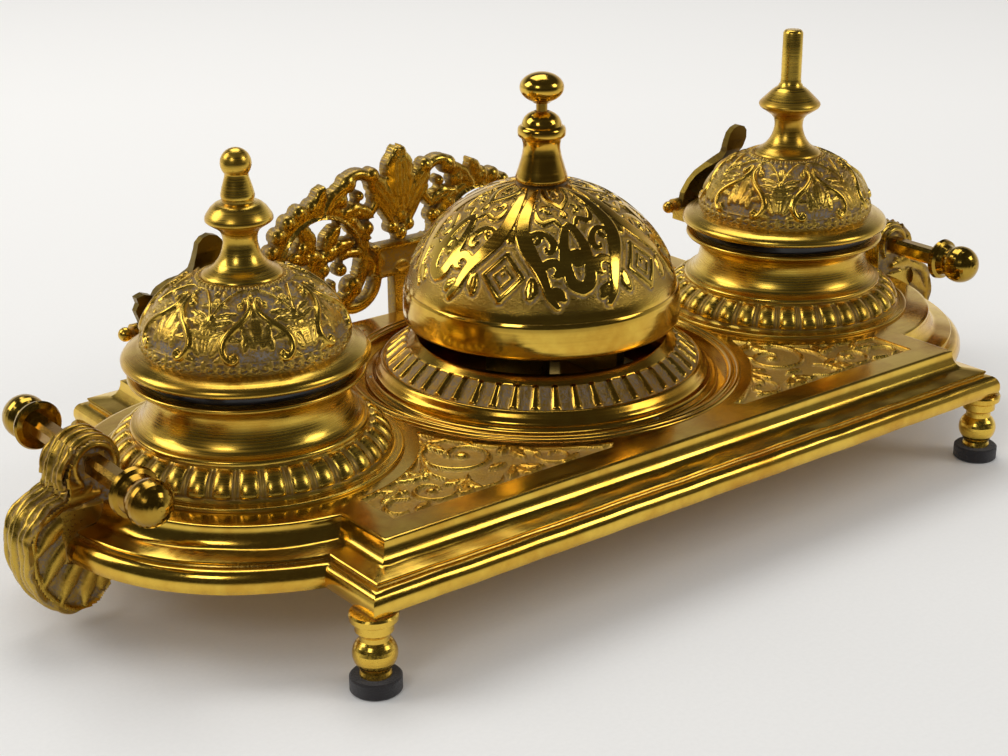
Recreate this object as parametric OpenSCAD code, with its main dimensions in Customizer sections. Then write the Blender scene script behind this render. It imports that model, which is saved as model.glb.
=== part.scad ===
// Desk inkstand: a cast brass plate on four turned feet, with two lidded ink wells,
// a press bell between them, a lifting handle at each end and a pierced rear gallery.
// X runs along the plate, Y to the back and Z up. The origin is under the middle of
// the plate, on the surface that the felt pads stand on.

/* [Feet] */
// Thickness of the felt pad under each foot
pad_h = 3.8; // [2:0.1:6]
// Radius of the felt pad
pad_r = 5.8; // [4.4:0.1:7]
// Height of a turned foot between its pad and the plate
foot_h = 15.2; // [13:0.2:20]
// Radius of the ball of a foot
foot_ball_r = 5; // [4:0.1:6]
// Radius of the threaded stud on top of a foot
foot_stud_r = 1.5; // [1:0.1:1.8]
// Length of that stud
foot_stud_len = 3; // [2:0.1:3.4]
// Distance of a foot's axis from the short side of the plate
foot_inset_x = 2.8; // [2.6:0.1:5]
// Distance of a foot's axis from the long side of the plate
foot_inset_y = 4.3; // [2.6:0.1:5]

/* [Plate] */
// Half the length of the rectangular part
plate_half_len = 103.4; // [101:0.2:106]
// Half the depth of the plate
plate_half_dep = 70.8; // [69:0.2:74]
// Distance of the centre of a round end from the middle
lobe_x = 87.4; // [86:0.2:89]
// Radius of a round end
lobe_r = 54.4; // [53.6:0.2:56]
// Height of the plate from its underside to its flat top
plate_h = 12.3; // [11:0.1:14]
// Height of the rough cast edge under the half-round band
edge_h = 2.1; // [1:0.1:3]
// Height of the half-round band
band_h = 3.3; // [2.5:0.1:3.6]
// Width by which the band curves in
band_w = 2.4; // [1.6:0.1:2.6]
// Depth of the groove over the band
groove_d = 0.9; // [0.3:0.1:1.2]
// Width of the flat fillet between the band and the cove
fillet_w = 4; // [2.5:0.1:5]
// Width of the cove under the flat top
cove_w = 2.8; // [1.5:0.1:3.5]
// Width of the solid rim around the hollow underside
rim_w = 11.5; // [10.5:0.1:13]
// Thickness of the plate over the hollow, under the bell's seat
skin_t = 2.9; // [2:0.1:3.5]
// Depth of the ornamental panels
panel_d = 1.6; // [0.8:0.1:2.4]
// Distance of a panel from the plate's long side
panel_margin = 17.3; // [15:0.1:20]
// Half the length over the outer ends of the panels
panel_end_x = 86; // [80:0.5:88]
// Distance of a panel's inner tip from the middle
panel_tip_x = 20; // [16:0.5:26]

/* [Ink wells] */
// Distance of a well's axis from the middle of the plate
well_x = 90; // [88:0.2:92]
// Radius of the base flange of a gadrooned collar
collar_r = 36.5; // [35.5:0.1:38]
// Height of the collar
collar_h = 7.4; // [6.6:0.1:8.5]
// Number of lobes around a collar
lobes = 34; // [24:1:36]
// Radius of the foot of the well, on the collar's top
well_foot_r = 28.3; // [27.6:0.1:29]
// Radius of the waist of the well
waist_r = 23.9; // [23.4:0.1:26]
// Radius of the well's top rim
rim_r = 28.1; // [27.4:0.1:29]
// Height of the well over the collar
well_h = 13.6; // [12.6:0.1:16]
// Radius of the bore that takes the ink pot
well_bore_r = 21.8; // [20:0.1:22]
// Radius of the spigot that goes through the collar
spigot_r = 26; // [24.5:0.1:26.6]
// Thickness of the well's floor
well_floor = 5; // [3.5:0.1:6]
// Thickness of the glass of an ink pot
glass_t = 2.5; // [1.5:0.1:3]
// Radius of the flange of an ink pot
pot_flange_r = 25.4; // [24.4:0.1:26]
// Thickness of that flange, on which the lid closes
pot_flange_h = 3; // [2:0.1:3.5]
// Radius of the screw under a well
well_screw_r = 2.4; // [1.5:0.1:3]

/* [Lids] */
// Outer radius of a lid's rim
lid_r = 29.3; // [28:0.1:30]
// Radius of the dome where it meets the rim
dome_r = 24.3; // [23.8:0.1:25]
// Height of the full half ellipse of the dome
dome_h = 17.5; // [16:0.1:19]
// Height of the moulded rim under the dome
lid_rim_h = 3.7; // [3:0.1:5]
// Thickness of the cast dome
lid_t = 1.6; // [1.2:0.1:2]
// Radius of the foot of a finial, on the dome
finial_r = 9.6; // [8.6:0.1:10.4]
// Radius of the finial's threaded stud
finial_stud_r = 2; // [1.5:0.1:2.5]
// Distance between the flats of the nut inside the lid
finial_nut_af = 8; // [6.5:0.1:9]
// Thickness of that nut
finial_nut_h = 2.6; // [2:0.1:3]

/* [Hinges] */
// Distance of a hinge pin behind the well's axis
hinge_y = 33.5; // [33:0.1:35]
// Height of the hinge pin over the well's rim
hinge_rise = 1.8; // [1.2:0.1:2.6]
// Radius of the hinge barrel
barrel_r = 2.2; // [1.9:0.1:2.5]
// Half the length of the barrel of the lid's leaf
barrel_half = 11; // [9:0.1:12]
// Thickness of an ear of the well
ear_t = 1.4; // [1:0.1:2]
// Radius of the hinge pin
pin_r = 1.1; // [0.8:0.05:1.3]
// Radius of the ball ends of the hinge pin
pin_ball_r = 1.8; // [1.5:0.1:2.2]
// Thickness of the lid's leaf
leaf_t = 2; // [1.4:0.1:2.6]

/* [Bell] */
// Distance of the bell's axis behind the middle of the plate
bell_y = 1; // [-2:0.5:2]
// Width of the flat between the base ring and the wall of its seat
seat_gap = 2.3; // [1.4:0.1:3]
// Depth of that seat
seat_d = 2.6; // [1.5:0.1:3]
// Outer radius of the fluted base ring
ring_r = 47.2; // [46.6:0.1:48]
// Inner radius of the base ring
ring_in_r = 33; // [32:0.1:34]
// Height of the base ring
ring_h = 12.4; // [11:0.1:13]
// Number of flutes around the base ring
flutes = 48; // [36:1:56]
// Gap between the base ring and the bell
bell_gap = 4.7; // [3.5:0.1:7]
// Radius of the bell's rim
bell_r = 36.4; // [35.5:0.1:38]
// Height of the plain band at the bell's rim
bell_band_h = 6.3; // [4:0.1:8]
// Height of the bell's dome over the band
bell_dome_h = 30; // [27:0.2:33]
// Thickness of the bell
bell_t = 1.6; // [1.2:0.1:2]
// Height of the turned column on the bell
column_h = 18; // [16:0.2:20]
// Radius of the column's foot
column_r = 6.8; // [6:0.1:8]
// Radius of the column's waist
column_waist_r = 4.8; // [4.5:0.1:5.6]
// Radius of the column's collar
column_collar_r = 6.2; // [5.8:0.1:7]
// Height of the cavity in the column for the spring and the rod's collar
chamber_h = 9.5; // [8.5:0.1:11]
// Radius of the post's top stud, and so of the column's cavity
stud_r = 3; // [2.9:0.05:3.3]
// Radius of the bell's post under the dome
post_r = 4.2; // [3.8:0.1:5]
// Height of the bridge that carries the post
bridge_h = 24.4; // [23:0.2:26]
// Half the width of the bridge over its legs
bridge_half = 14; // [13:0.2:16]
// Thickness of the bridge
bridge_t = 2.6; // [2:0.1:3]

/* [Striker] */
// Radius of the push rod
rod_r = 1.45; // [1.2:0.05:1.6]
// Travel of the push rod
rod_travel = 2; // [1.2:0.1:3]
// Radius of the flattened knob
knob_r = 5.7; // [5:0.1:6.5]
// Half the height of the knob
knob_half_h = 3.9; // [3:0.1:4]
// Distance between the rod and the lever's pivot
lever_arm = 13; // [12:0.2:14]
// Height of the pivot over the bell's seat
pivot_h = 14.4; // [13.6:0.2:15]
// Radius of the pivot pin
pivot_r = 1; // [0.8:0.05:1.2]
// Thickness of the lever
lever_t = 1.6; // [1.2:0.1:1.8]
// Distance of the hammer from the bell's axis
hammer_y = 29; // [27:0.1:29.4]
// Height of the hammer over the pivot
hammer_h = 13; // [12:0.2:14]
// Radius of the hammer's ball
hammer_r = 3; // [2:0.1:3.2]
// Number of turns of the return spring
spring_turns = 5; // [3:1:7]
// Wire radius of the return spring
wire_r = 0.2; // [0.15:0.01:0.25]

/* [Handles] */
// Distance of a handle bar from the plate's end
handle_inset = 8.7; // [7.4:0.1:9.8]
// Height of the handle bar over the plate's flat top
handle_rise = 9.3; // [8.4:0.1:11]
// Width of the squared handle bar
bar_w = 4.7; // [3.5:0.1:5.2]
// Half the length of the bar between its end knobs
bar_half = 23; // [20:0.2:27]
// Radius of the balls at the bar's ends
handle_ball_r = 5.4; // [4.6:0.1:6]
// Radius of the disc behind each ball
handle_disc_r = 6; // [5:0.1:6.6]
// Width of a handle bracket
bracket_w = 10; // [8:0.1:12]
// Radius of the knuckle that holds the bar
knuckle_r = 6.3; // [5.6:0.1:6.8]
// Reach of the bracket beyond the plate's round end
bracket_reach = 8.7; // [7.5:0.1:10]

/* [Gallery] */
// Thickness of the rear gallery
gallery_t = 3; // [2.6:0.1:3.6]
// Distance of the gallery's middle from the plate's rear edge
gallery_inset = 3.8; // [3.6:0.1:4.6]
// Distance of a scroll ring's centre from the middle
scroll_x = 27.5; // [26:0.1:29]
// Height of the scroll rings' centres over the plate's flat top
scroll_z = 17.2; // [16:0.1:19]
// Outer radius of a scroll ring
scroll_r = 16.9; // [16:0.1:17.6]
// Width of a scroll ring's band
scroll_w = 4.2; // [3:0.1:5]

/* [Fits] */
// Radial clearance of pins, rods and shafts in their bores
running = 0.05; // [0.02:0.01:0.08]
// Clearance of loose pieces from their surroundings
loose = 0.3; // [0.2:0.05:0.5]

/* [Hidden] */
$fn = 64;
eps = 0.01;

brass = [0.80, 0.62, 0.28];
dark_brass = [0.55, 0.42, 0.20];
steel = [0.62, 0.62, 0.64];
felt = [0.08, 0.07, 0.08];
glass = [0.10, 0.12, 0.14];

// heights, from the pads up
z_foot = pad_h;
z_under = z_foot + foot_h;
z_top = z_under + plate_h;
z_seat = z_top - seat_d;
seat_r = ring_r + seat_gap;
plate_end = lobe_x + lobe_r;
handle_x = plate_end - handle_inset;
z_hollow = z_seat - skin_t;
z_collar = z_top + collar_h;
z_rim = z_collar + well_h;
z_lid = z_rim + pot_flange_h;
z_dome = z_lid + lid_rim_h;
z_finial = z_dome + dome_h * sqrt(1 - pow(finial_r / dome_r, 2));
z_hinge = z_rim + hinge_rise;
z_ring = z_seat + ring_h;
z_bell = z_ring + bell_gap;
z_bell_dome = z_bell + bell_band_h;
z_bell_top = z_bell_dome + bell_dome_h;
z_column = z_bell_top + column_h;
z_bridge = z_seat + bridge_h;
z_pivot = z_seat + pivot_h;
z_bar = z_top + handle_rise;
z_knob = z_column + rod_travel + loose + knob_half_h;

// the edge moulding's steps: distance in from the outline and height over the underside
rough_in = 0.3;
ridge_h = 0.5;
fillet_rise = 0.7;
groove_h = 0.8;
z_band = edge_h + band_h;
ridge_in = band_w + 0.5;
z_ridge = z_band + groove_h + ridge_h;
fillet_in = ridge_in + fillet_w;
z_fillet = z_ridge + fillet_rise;
cove_h = plate_h - z_fillet;
top_in = fillet_in + cove_w;

// screw heads, shared by all the screws
head_k = 1.8;
head_h = 1.6;

function arc(c, rx, rz, a0, a1, n) =
    [for (i = [0:n]) let (a = a0 + (a1 - a0) * i / n) [c[0] + rx * cos(a), c[1] + rz * sin(a)]];
function shifted(points, dx, dy) = [for (p = points) [p[0] + dx, p[1] + dy]];
function lerp(a, b, t) = a + (b - a) * t;
function unit(v) = v / norm(v);
// a strip of the given width along a line of points
function side_of(line, i) = let (d = unit(line[min(i + 1, len(line) - 1)] - line[max(i - 1, 0)]))
    [-d[1], d[0]];
function strip(line, w) = concat(
    [for (i = [0:len(line) - 1]) line[i] + side_of(line, i) * w / 2],
    [for (i = [len(line) - 1:-1:0]) line[i] - side_of(line, i) * w / 2]);

module at_left() translate([-well_x, 0, 0]) children();
module at_right() translate([well_x, 0, 0]) mirror([1, 0, 0]) children();
module at_bell() translate([0, bell_y, 0]) children();
module both_ends() { children(); mirror([1, 0, 0]) children(); }
module at_feet(sx, sy)
    translate([sx * (plate_half_len - foot_inset_x), sy * (plate_half_dep - foot_inset_y), 0])
        children();
module bored(r, z0, z1) translate([0, 0, z0]) cylinder(r = r, h = z1 - z0);
module screw(r, z0, z1) {
    bored(r * head_k, z0, z0 + head_h);
    bored(r, z0, z1);
}

/* ---- plate ---- */

// the right half of the edge moulding, for an outline at distance d from the axis
function moulding(d) = concat(
    [[0, 0], [d - rough_in, 0], [d, edge_h]],
    arc([d - band_w, edge_h], band_w, band_h, 15, 90, 5),
    [[d - band_w - groove_d, z_band + 0.2], [d - band_w - groove_d, z_band + groove_h - 0.3],
     [d - ridge_in, z_band + groove_h], [d - ridge_in, z_ridge]],
    [for (t = [0:15:90]) [d - fillet_in - cove_w * sin(t), z_fillet + cove_h * (1 - cos(t))]],
    [[0, plate_h]]);
module moulded_bar(d, l) {
    rotate([90, 0, 0]) translate([0, 0, -l]) linear_extrude(2 * l) both_ends() polygon(moulding(d));
}
module moulded_plate() translate([0, 0, z_under]) {
    intersection() {
        moulded_bar(plate_half_len, plate_half_dep + 1);
        rotate([0, 0, 90]) moulded_bar(plate_half_dep, plate_half_len + 1);
    }
    moulded_lobe(-1);
    moulded_lobe(1);
}
module moulded_lobe(s) translate([s * lobe_x, 0, 0]) rotate_extrude() polygon(moulding(lobe_r));

module hollow() difference() {
    translate([0, 0, z_under - 1]) union() {
        linear_extrude(z_hollow - z_under + 1)
            square(2 * [plate_half_len - rim_w, plate_half_dep - rim_w], center = true);
        for (s = [-1, 1]) translate([s * lobe_x, 0, 0])
            cylinder(r = lobe_r - rim_w, h = z_hollow - z_under + 1);
    }
    for (s = [-1, 1]) translate([s * well_x, 0, 0]) bored(10, z_hollow - 2, z_hollow + 1);
}
panel_bell_r = seat_r + 6.5;
panel_well_r = collar_r + 3.5;
module panels() for (s = [-1, 1], t = [-1, 1]) difference() {
    translate([s * (panel_end_x + panel_tip_x) / 2, t * (plate_half_dep - panel_margin) / 2, z_top])
        cube([panel_end_x - panel_tip_x, plate_half_dep - panel_margin, 2 * panel_d], center = true);
    at_bell() bored(panel_bell_r, z_top - 3, z_top + 3);
    translate([s * well_x, 0, 0]) bored(panel_well_r, z_top - 3, z_top + 3);
}
bead_r = 0.7;
module seat_beads() at_bell() translate([0, 0, z_top - bead_r / 3]) rotate_extrude()
    for (r = [seat_r + 1.2, seat_r + 3]) translate([r, 0]) circle(bead_r, $fn = 24);

module base_plate() color(brass) difference() {
    union() {
        moulded_plate();
        seat_beads();
    }
    hollow();
    panels();
    at_bell() bored(seat_r, z_seat, z_top + 3);
    for (s = [-1, 1], t = [-1, 1]) at_feet(s, t)
        bored(foot_stud_r, z_under - 1, z_under + foot_stud_len);
    for (s = [-1, 1]) translate([s * well_x, 0, 0])
        bored(well_screw_r, z_hollow - 3, z_top + 1);
    ring_screw_places() bored(ring_screw_r, z_hollow - 1, z_top);
    bridge_screw_places() bored(bridge_screw_r, z_hollow - 1, z_top);
    bracket_screw_places() {
        bored(bracket_screw_r, z_under - 1, z_top + 1);
        bored(bracket_screw_r * head_k + 0.4, z_under - 1, z_counter);
    }
    gallery_screw_places() {
        bored(gallery_screw_r, z_under - 1, z_top + 1);
        bored(gallery_screw_r * head_k + 0.4, z_under - 1, z_gallery_head);
    }
}

/* ---- feet ---- */

foot_neck_z = z_foot + foot_h - 5.5;
ball_z = z_foot + 5.2;
module foot(sx, sy) color(brass) at_feet(sx, sy) rotate_extrude() polygon(concat(
    [[0, z_foot], [3.6, z_foot], [3.6, z_foot + 0.5], [3.3, z_foot + 1.2]],
    arc([0, ball_z], foot_ball_r, 4.6, -46, 48, 10),
    [[3.3, foot_neck_z], [3.5, foot_neck_z + 0.5], [4.3, foot_neck_z + 1.1],
     [4.3, z_under - 2.5], [4, z_under - 2.1], [5.4, z_under - 1.8], [5.5, z_under - 0.5],
     [5.2, z_under], [foot_stud_r, z_under], [foot_stud_r, z_under + foot_stud_len],
     [0, z_under + foot_stud_len]]));
pad_edge = 0.4;
module pad(sx, sy) color(felt) at_feet(sx, sy) rotate_extrude() polygon(
    [[0, 0], [pad_r - pad_edge, 0], [pad_r, pad_edge], [pad_r, z_foot - pad_edge],
     [pad_r - pad_edge, z_foot], [0, z_foot]]);

/* ---- ink wells ---- */

collar_step_h = 1.6;
ovolo_in = 3;
ovolo_w = collar_r - ovolo_in - well_foot_r;
ovolo_h = collar_h - collar_step_h;
lobe_tube_r = PI * (well_foot_r + 0.45 * ovolo_w) / lobes * 0.84;
// a collar: a core ring with a quarter torus for each lobe and a thin rib between two
module collar() color(brass) {
    difference() {
        union() {
            translate([0, 0, z_top]) rotate_extrude() polygon(concat(
                [[spigot_r, 0], [collar_r, 0], [collar_r, 0.8], [collar_r - ovolo_in, 0.8],
                 [collar_r - ovolo_in, collar_step_h]],
                arc([well_foot_r - 0.6, collar_step_h], ovolo_w - 0.4, ovolo_h - 0.9, 10, 80, 6),
                [[well_foot_r - 0.2, collar_h - 0.7], [well_foot_r, collar_h],
                 [spigot_r, collar_h]]));
            intersection() {
                for (i = [0:lobes - 1]) rotate([0, 0, (i + 0.5) * 360 / lobes])
                    translate([well_foot_r - 0.8, 0, z_top + collar_step_h]) {
                        quarter_torus(ovolo_w - lobe_tube_r + 0.8, lobe_tube_r);
                    }
                bored(collar_r, z_top + collar_step_h, z_collar - 0.3);
            }
        }
        bored(spigot_r, z_top - 1, z_collar + 1);
    }
}
module quarter_torus(bend_r, tube_r) rotate([90, 0, 0]) rotate_extrude(angle = 90)
    translate([bend_r, 0]) circle(tube_r, $fn = 32);

z_waist = z_collar + 8.9;
rim_h = 1.2;
rim_drop = 3.2;
module well_turning() rotate_extrude() polygon(concat(
    [[0, z_top], [spigot_r, z_top], [spigot_r, z_collar], [well_foot_r, z_collar],
     [well_foot_r, z_collar + 0.9]],
    [for (t = [0:15:90]) [waist_r + (well_foot_r - waist_r) * (1 - sin(t)),
        z_waist - (z_waist - z_collar - 1.2) * cos(t)]],
    [for (t = [15:15:75]) [rim_r - 1 - (rim_r - 1 - waist_r) * cos(t),
        z_waist + (z_rim - rim_h - 0.3 - z_waist) * sin(t)]],
    [[rim_r - 0.6, z_rim - rim_h], [rim_r - 0.1, z_rim - rim_h + 0.2], [rim_r, z_rim - 0.3],
     [rim_r - 0.3, z_rim], [0, z_rim]]));
ear_x = barrel_half + loose;
arm_drop = 2;
module well_ears() for (s = [-1, 1]) translate([s > 0 ? ear_x : -ear_x - ear_t, 0, 0]) {
    translate([0, 24.5, z_rim - arm_drop])
        cube([ear_t, hinge_y - 24.5, z_hinge - z_rim + arm_drop]);
    translate([0, hinge_y, z_hinge]) rotate([0, 90, 0]) cylinder(r = barrel_r, h = ear_t);
}
module well() color(brass) difference() {
    union() {
        well_turning();
        well_ears();
    }
    bored(well_bore_r, z_top + well_floor, z_rim + 1);
    bored(well_screw_r, z_top - 1, z_top + well_floor - 0.5);
    translate([-20, hinge_y, z_hinge]) rotate([0, 90, 0]) cylinder(r = pin_r, h = 40);
}
module well_screws() color(steel) for (s = [-1, 1]) translate([s * well_x, 0, 0])
    screw(well_screw_r, z_hollow - 2 - head_h, z_top + well_floor - 0.5);

pot_r = well_bore_r - loose;
pot_floor_z = z_top + well_floor + loose;
module ink_pot() color(glass) rotate_extrude() polygon(
    [[0, pot_floor_z], [pot_r - 1, pot_floor_z], [pot_r, pot_floor_z + 1], [pot_r, z_rim],
     [pot_flange_r - 0.4, z_rim], [pot_flange_r, z_rim + 0.4], [pot_flange_r, z_lid - 0.4],
     [pot_flange_r - 0.4, z_lid], [pot_r - glass_t, z_lid], [pot_r - glass_t, pot_floor_z + glass_t + 1],
     [pot_r - glass_t - 1, pot_floor_z + glass_t], [0, pot_floor_z + glass_t]]);

/* ---- lids ---- */

function dome(r, h, r_end, n) = let (a1 = acos(r_end / r)) arc([0, z_dome], r, h, 0, a1, n);
module lid_turning() rotate_extrude() polygon(concat(
    [[0, z_lid], [lid_r - 0.4, z_lid], [lid_r, z_lid + 0.4], [lid_r, z_lid + 1],
     [lid_r - 0.5, z_lid + 1.7], [lid_r - 1.3, z_lid + 2.3], [dome_r + 1.9, z_lid + lid_rim_h - 0.7]],
    dome(dome_r, dome_h, finial_r, 12), [[0, z_finial]]));
nut_land_r = 6;
module lid() color(brass) difference() {
    lid_turning();
    rotate_extrude() difference() {
        polygon(concat([[0, z_lid - 1], [dome_r - lid_t, z_lid - 1]],
            dome(dome_r - lid_t, dome_h - lid_t, 0, 12)));
        translate([0, z_finial - lid_t]) square([nut_land_r, 2 * lid_t]);
    }
    bored(finial_stud_r, z_dome, z_finial + 1);
}

// the leaf seen from the side, and its outline seen from behind
leaf_side = [[hinge_y - 0.9, z_hinge + 1], [hinge_y - 1, z_lid + 3.3], [hinge_y - 1.2, z_lid + 6],
    [hinge_y - 2.2, z_lid + 8.5], [hinge_y - 4.5, z_lid + 11], [26, z_lid + 13.1],
    [22.8, z_lid + 15.2], [20.6, z_lid + 17.8], [19.2, z_lid + 20.8], [18.4, z_lid + 26]];
leaf_front = [[-barrel_half, -3], [-barrel_half + 0.3, 0.5], [-12.2, 4.7], [-11.4, 6.4],
    [-12.4, 8.5], [-10.6, 9.3], [-8.3, 8.4], [-7.5, 7.5], [-6.5, 10.1], [-4.2, 12.2],
    [-1.9, 12.9], [-1.5, 14.9], [-1.8, 18.2], [-1.7, 20.6], [-1.3, 23], [-0.1, 24.3],
    [1.8, 24.9], [3.8, 24.3], [5.2, 22.9], [5.7, 20.8], [5.3, 18.6], [4.2, 16.5],
    [3.6, 11.8], [6.7, 7.6], [barrel_half - 1, 2.7], [barrel_half, -3]];
module lid_leaf() color(dark_brass) difference() {
    union() {
        intersection() {
            translate([-20, 0, 0]) rotate([90, 0, 90]) linear_extrude(40)
                polygon(strip(leaf_side, leaf_t));
            translate([0, 40, z_lid]) rotate([90, 0, 0]) linear_extrude(40) polygon(leaf_front);
        }
        translate([-barrel_half, hinge_y, z_hinge]) rotate([0, 90, 0])
            cylinder(r = barrel_r, h = 2 * barrel_half);
        difference() {
            translate([-7, 24, z_lid + 0.6]) cube([14, hinge_y - 0.9 - 24, 2.2]);
            lid_turning();
        }
    }
    translate([-20, hinge_y, z_hinge]) rotate([0, 90, 0]) cylinder(r = pin_r + running, h = 40);
}
pin_half = ear_x + ear_t + pin_ball_r * 0.97;
module hinge_pin() color(brass) translate([0, hinge_y, z_hinge]) rotate([0, 90, 0])
    rotate_extrude() polygon(concat(
        arc([0, -pin_half], pin_ball_r, pin_ball_r, -90, acos(pin_r / pin_ball_r), 12),
        arc([0, pin_half], pin_ball_r, pin_ball_r, -acos(pin_r / pin_ball_r), 90, 12)));

// the turned part that both finials share, over the top of the dome
finial_stem = [[finial_r, 0], [finial_r - 0.2, 0.9], [7.4, 2], [6.2, 3], [5.4, 4], [4.8, 5],
    [4.4, 6], [4.1, 7], [4, 8], [4.05, 9.2], [4.3, 10.2], [5.2, 11.4]];
finial_cup = [[7.2, 12.6], [7.8, 13.1], [7.9, 13.5], [7.8, 14], [7.3, 15], [6.4, 16.3],
    [5, 17.2], [3.7, 17.5], [3.6, 17.9], [3.85, 18.6], [3.85, 19.4], [3.6, 21], [2.8, 23.3]];
finial_plate = [[5.4, 11.6], [7.4, 13], [8.5, 13.8], [8.7, 14.3], [8.5, 14.9], [6.5, 17],
    [4.3, 18.9], [3.5, 19.5], [3.3, 20.2]];
finial_ball_r = 3.6;
z_finial_ball = 26.4;
peg_h = 35.3;
peg_r = 2.8;
module finial(upper) color(brass) translate([0, 0, z_finial]) rotate_extrude() polygon(concat(
    [[0, -lid_t - finial_nut_h - 0.8], [finial_stud_r, -lid_t - finial_nut_h - 0.8],
     [finial_stud_r, 0]], finial_stem, upper));
module left_finial() finial(concat(finial_cup,
    arc([0, z_finial_ball], finial_ball_r, finial_ball_r, -40, 90, 12)));
module right_finial() finial(concat(finial_plate,
    [[peg_r + 0.1, peg_h - 0.4], [peg_r - 0.3, peg_h], [0, peg_h]]));
module finial_nut() color(steel) translate([0, 0, z_finial - lid_t - finial_nut_h])
    difference() {
        cylinder(r = finial_nut_af / sqrt(3), h = finial_nut_h, $fn = 6);
        translate([0, 0, -1]) cylinder(r = finial_stud_r, h = finial_nut_h + 2);
    }

/* ---- bell ---- */

flute_in_r = ring_in_r + 3;
flute_out_r = ring_r - 5.7;
flute_in_z = ring_h - 2.2;
flute_out_z = 6;
ring_t = 2.2;
ring_foot_w = 3.8;
module ring_turning() rotate_extrude() polygon(
    [[ring_r, 0], [ring_r, 1], [ring_r - 0.6, 1.5], [ring_r - 1.8, 1.8], [ring_r - 2.4, 2.4],
     [ring_r - 2.7, 3.3], [ring_r - 3.6, 3.7], [ring_r - 4.2, 4.5], [ring_r - 4.4, 5.4],
     [ring_r - 4.9, 6], [ring_r - 5.4, 6.1], [flute_out_r, flute_out_z - 0.3],
     [flute_in_r, flute_in_z - 0.3], [flute_in_r - 0.1, flute_in_z], [ring_in_r + 0.3, ring_h],
     [ring_in_r, ring_h - 0.3], [ring_in_r, ring_h - ring_t], [flute_in_r - 1, flute_in_z - ring_t],
     [flute_out_r - 1.6, flute_out_z - 1.2], [ring_r - ring_foot_w - 3, 2], [ring_r - ring_foot_w, 0]]);
flute_len = norm([flute_out_r - flute_in_r, flute_in_z - flute_out_z]);
flute_tilt = atan2(flute_in_z - flute_out_z, flute_out_r - flute_in_r);
// a flute: a tapered round bar laid on the ring's slope, wider at its outer end
module flute() translate([flute_out_r - 0.5, 0, flute_out_z - 0.4])
    rotate([0, -90 + flute_tilt, 0]) {
        cylinder(r1 = 1.25, r2 = 0.8, h = flute_len - 1.4, $fn = 24);
        sphere(1.25, $fn = 24);
    }
module bell_ring() color(brass) at_bell() difference() {
    translate([0, 0, z_seat]) {
        ring_turning();
        for (i = [0:flutes - 1]) rotate([0, 0, (i + 0.5) * 360 / flutes]) flute();
    }
    ring_screw_ring() bored(ring_screw_r, z_seat - 1, z_seat + 1.6);
}
ring_screw_r = 0.9;
module ring_screw_ring() for (a = [30, 150, 270]) rotate([0, 0, a])
    translate([ring_r - 1.9, 0, 0]) children();
module ring_screw_places() at_bell() ring_screw_ring() children();
module bell_ring_screws() color(steel) ring_screw_places()
    screw(ring_screw_r, z_hollow - head_h, z_seat + 1.6);

bridge_front = lever_arm + 4.5;
bridge_back = 6;
bridge_foot_w = 7;
bridge_screw_r = 1.4;
module bridge_screw_places() at_bell() for (s = [-1, 1])
    translate([s * (bridge_half + bridge_foot_w / 2), 0, 0]) children();
// the bridge: an arch of strip brass over the lever, with the pivot's holes in its legs
module bell_bridge() color(brass) at_bell() difference() {
    translate([0, bridge_back, z_seat]) rotate([90, 0, 0])
        linear_extrude(bridge_back + bridge_front) difference() {
            union() {
                translate([-bridge_half, 0]) square([2 * bridge_half, bridge_h]);
                translate([-bridge_half - bridge_foot_w, 0])
                    square([2 * (bridge_half + bridge_foot_w), bridge_t]);
            }
            translate([-bridge_half + bridge_t, -1])
                square([2 * (bridge_half - bridge_t), bridge_h - bridge_t + 1]);
        }
    bored(post_pin_r, z_bridge - bridge_t - 1, z_bridge + 1);
    translate([-bridge_half - 1, -lever_arm, z_pivot]) rotate([0, 90, 0])
        cylinder(r = pivot_r, h = 2 * bridge_half + 2);
    for (s = [-1, 1]) translate([s * (bridge_half + bridge_foot_w / 2), 0, 0])
        bored(bridge_screw_r, z_seat - 1, z_seat + bridge_t + 1);
}
module bridge_screws() color(steel) bridge_screw_places()
    screw(bridge_screw_r, z_hollow - head_h, z_seat + bridge_t);

post_pin_r = 3;
z_post_top = z_column - 2.9 - chamber_h;
module bell_post() color(brass) at_bell() difference() {
    union() {
        bored(post_pin_r, z_bridge - bridge_t, z_bridge);
        bored(post_r + 1.6, z_bridge, z_bridge + 2);
        bored(post_r, z_bridge, z_bell_top - bell_t);
        bored(stud_r, z_bell_top - bell_t, z_post_top);
    }
    bored(rod_r + running, z_bridge - bridge_t - 1, z_post_top + 1);
}

// the bell's outline, with a dome that is a little fuller than an ellipse near its top
dome_power = 1.15;
function bell_dome(r, h, n) =
    [for (i = [0:n]) let (a = 90 * i / n) [r * cos(a), z_bell_dome + h * pow(sin(a), dome_power)]];
module bell() color(brass) at_bell() difference() {
    rotate_extrude() polygon(concat(
        [[bell_r - bell_t, z_bell], [bell_r - 0.3, z_bell], [bell_r, z_bell + 0.3],
         [bell_r - 0.1, z_bell_dome - 0.5]],
        bell_dome(bell_r - 0.4, bell_dome_h, 16),
        [[0, z_bell_top - bell_t]],
        [for (i = [16:-1:0]) let (a = 90 * i / 16) [(bell_r - 0.4 - bell_t) * cos(a),
            z_bell_dome + (bell_dome_h - bell_t) * pow(sin(a), dome_power)]]));
    bored(stud_r, z_bell_top - bell_t - 1, z_bell_top + 1);
    bored(post_r + loose, z_bell_dome, z_bell_top - bell_t);
}

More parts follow.
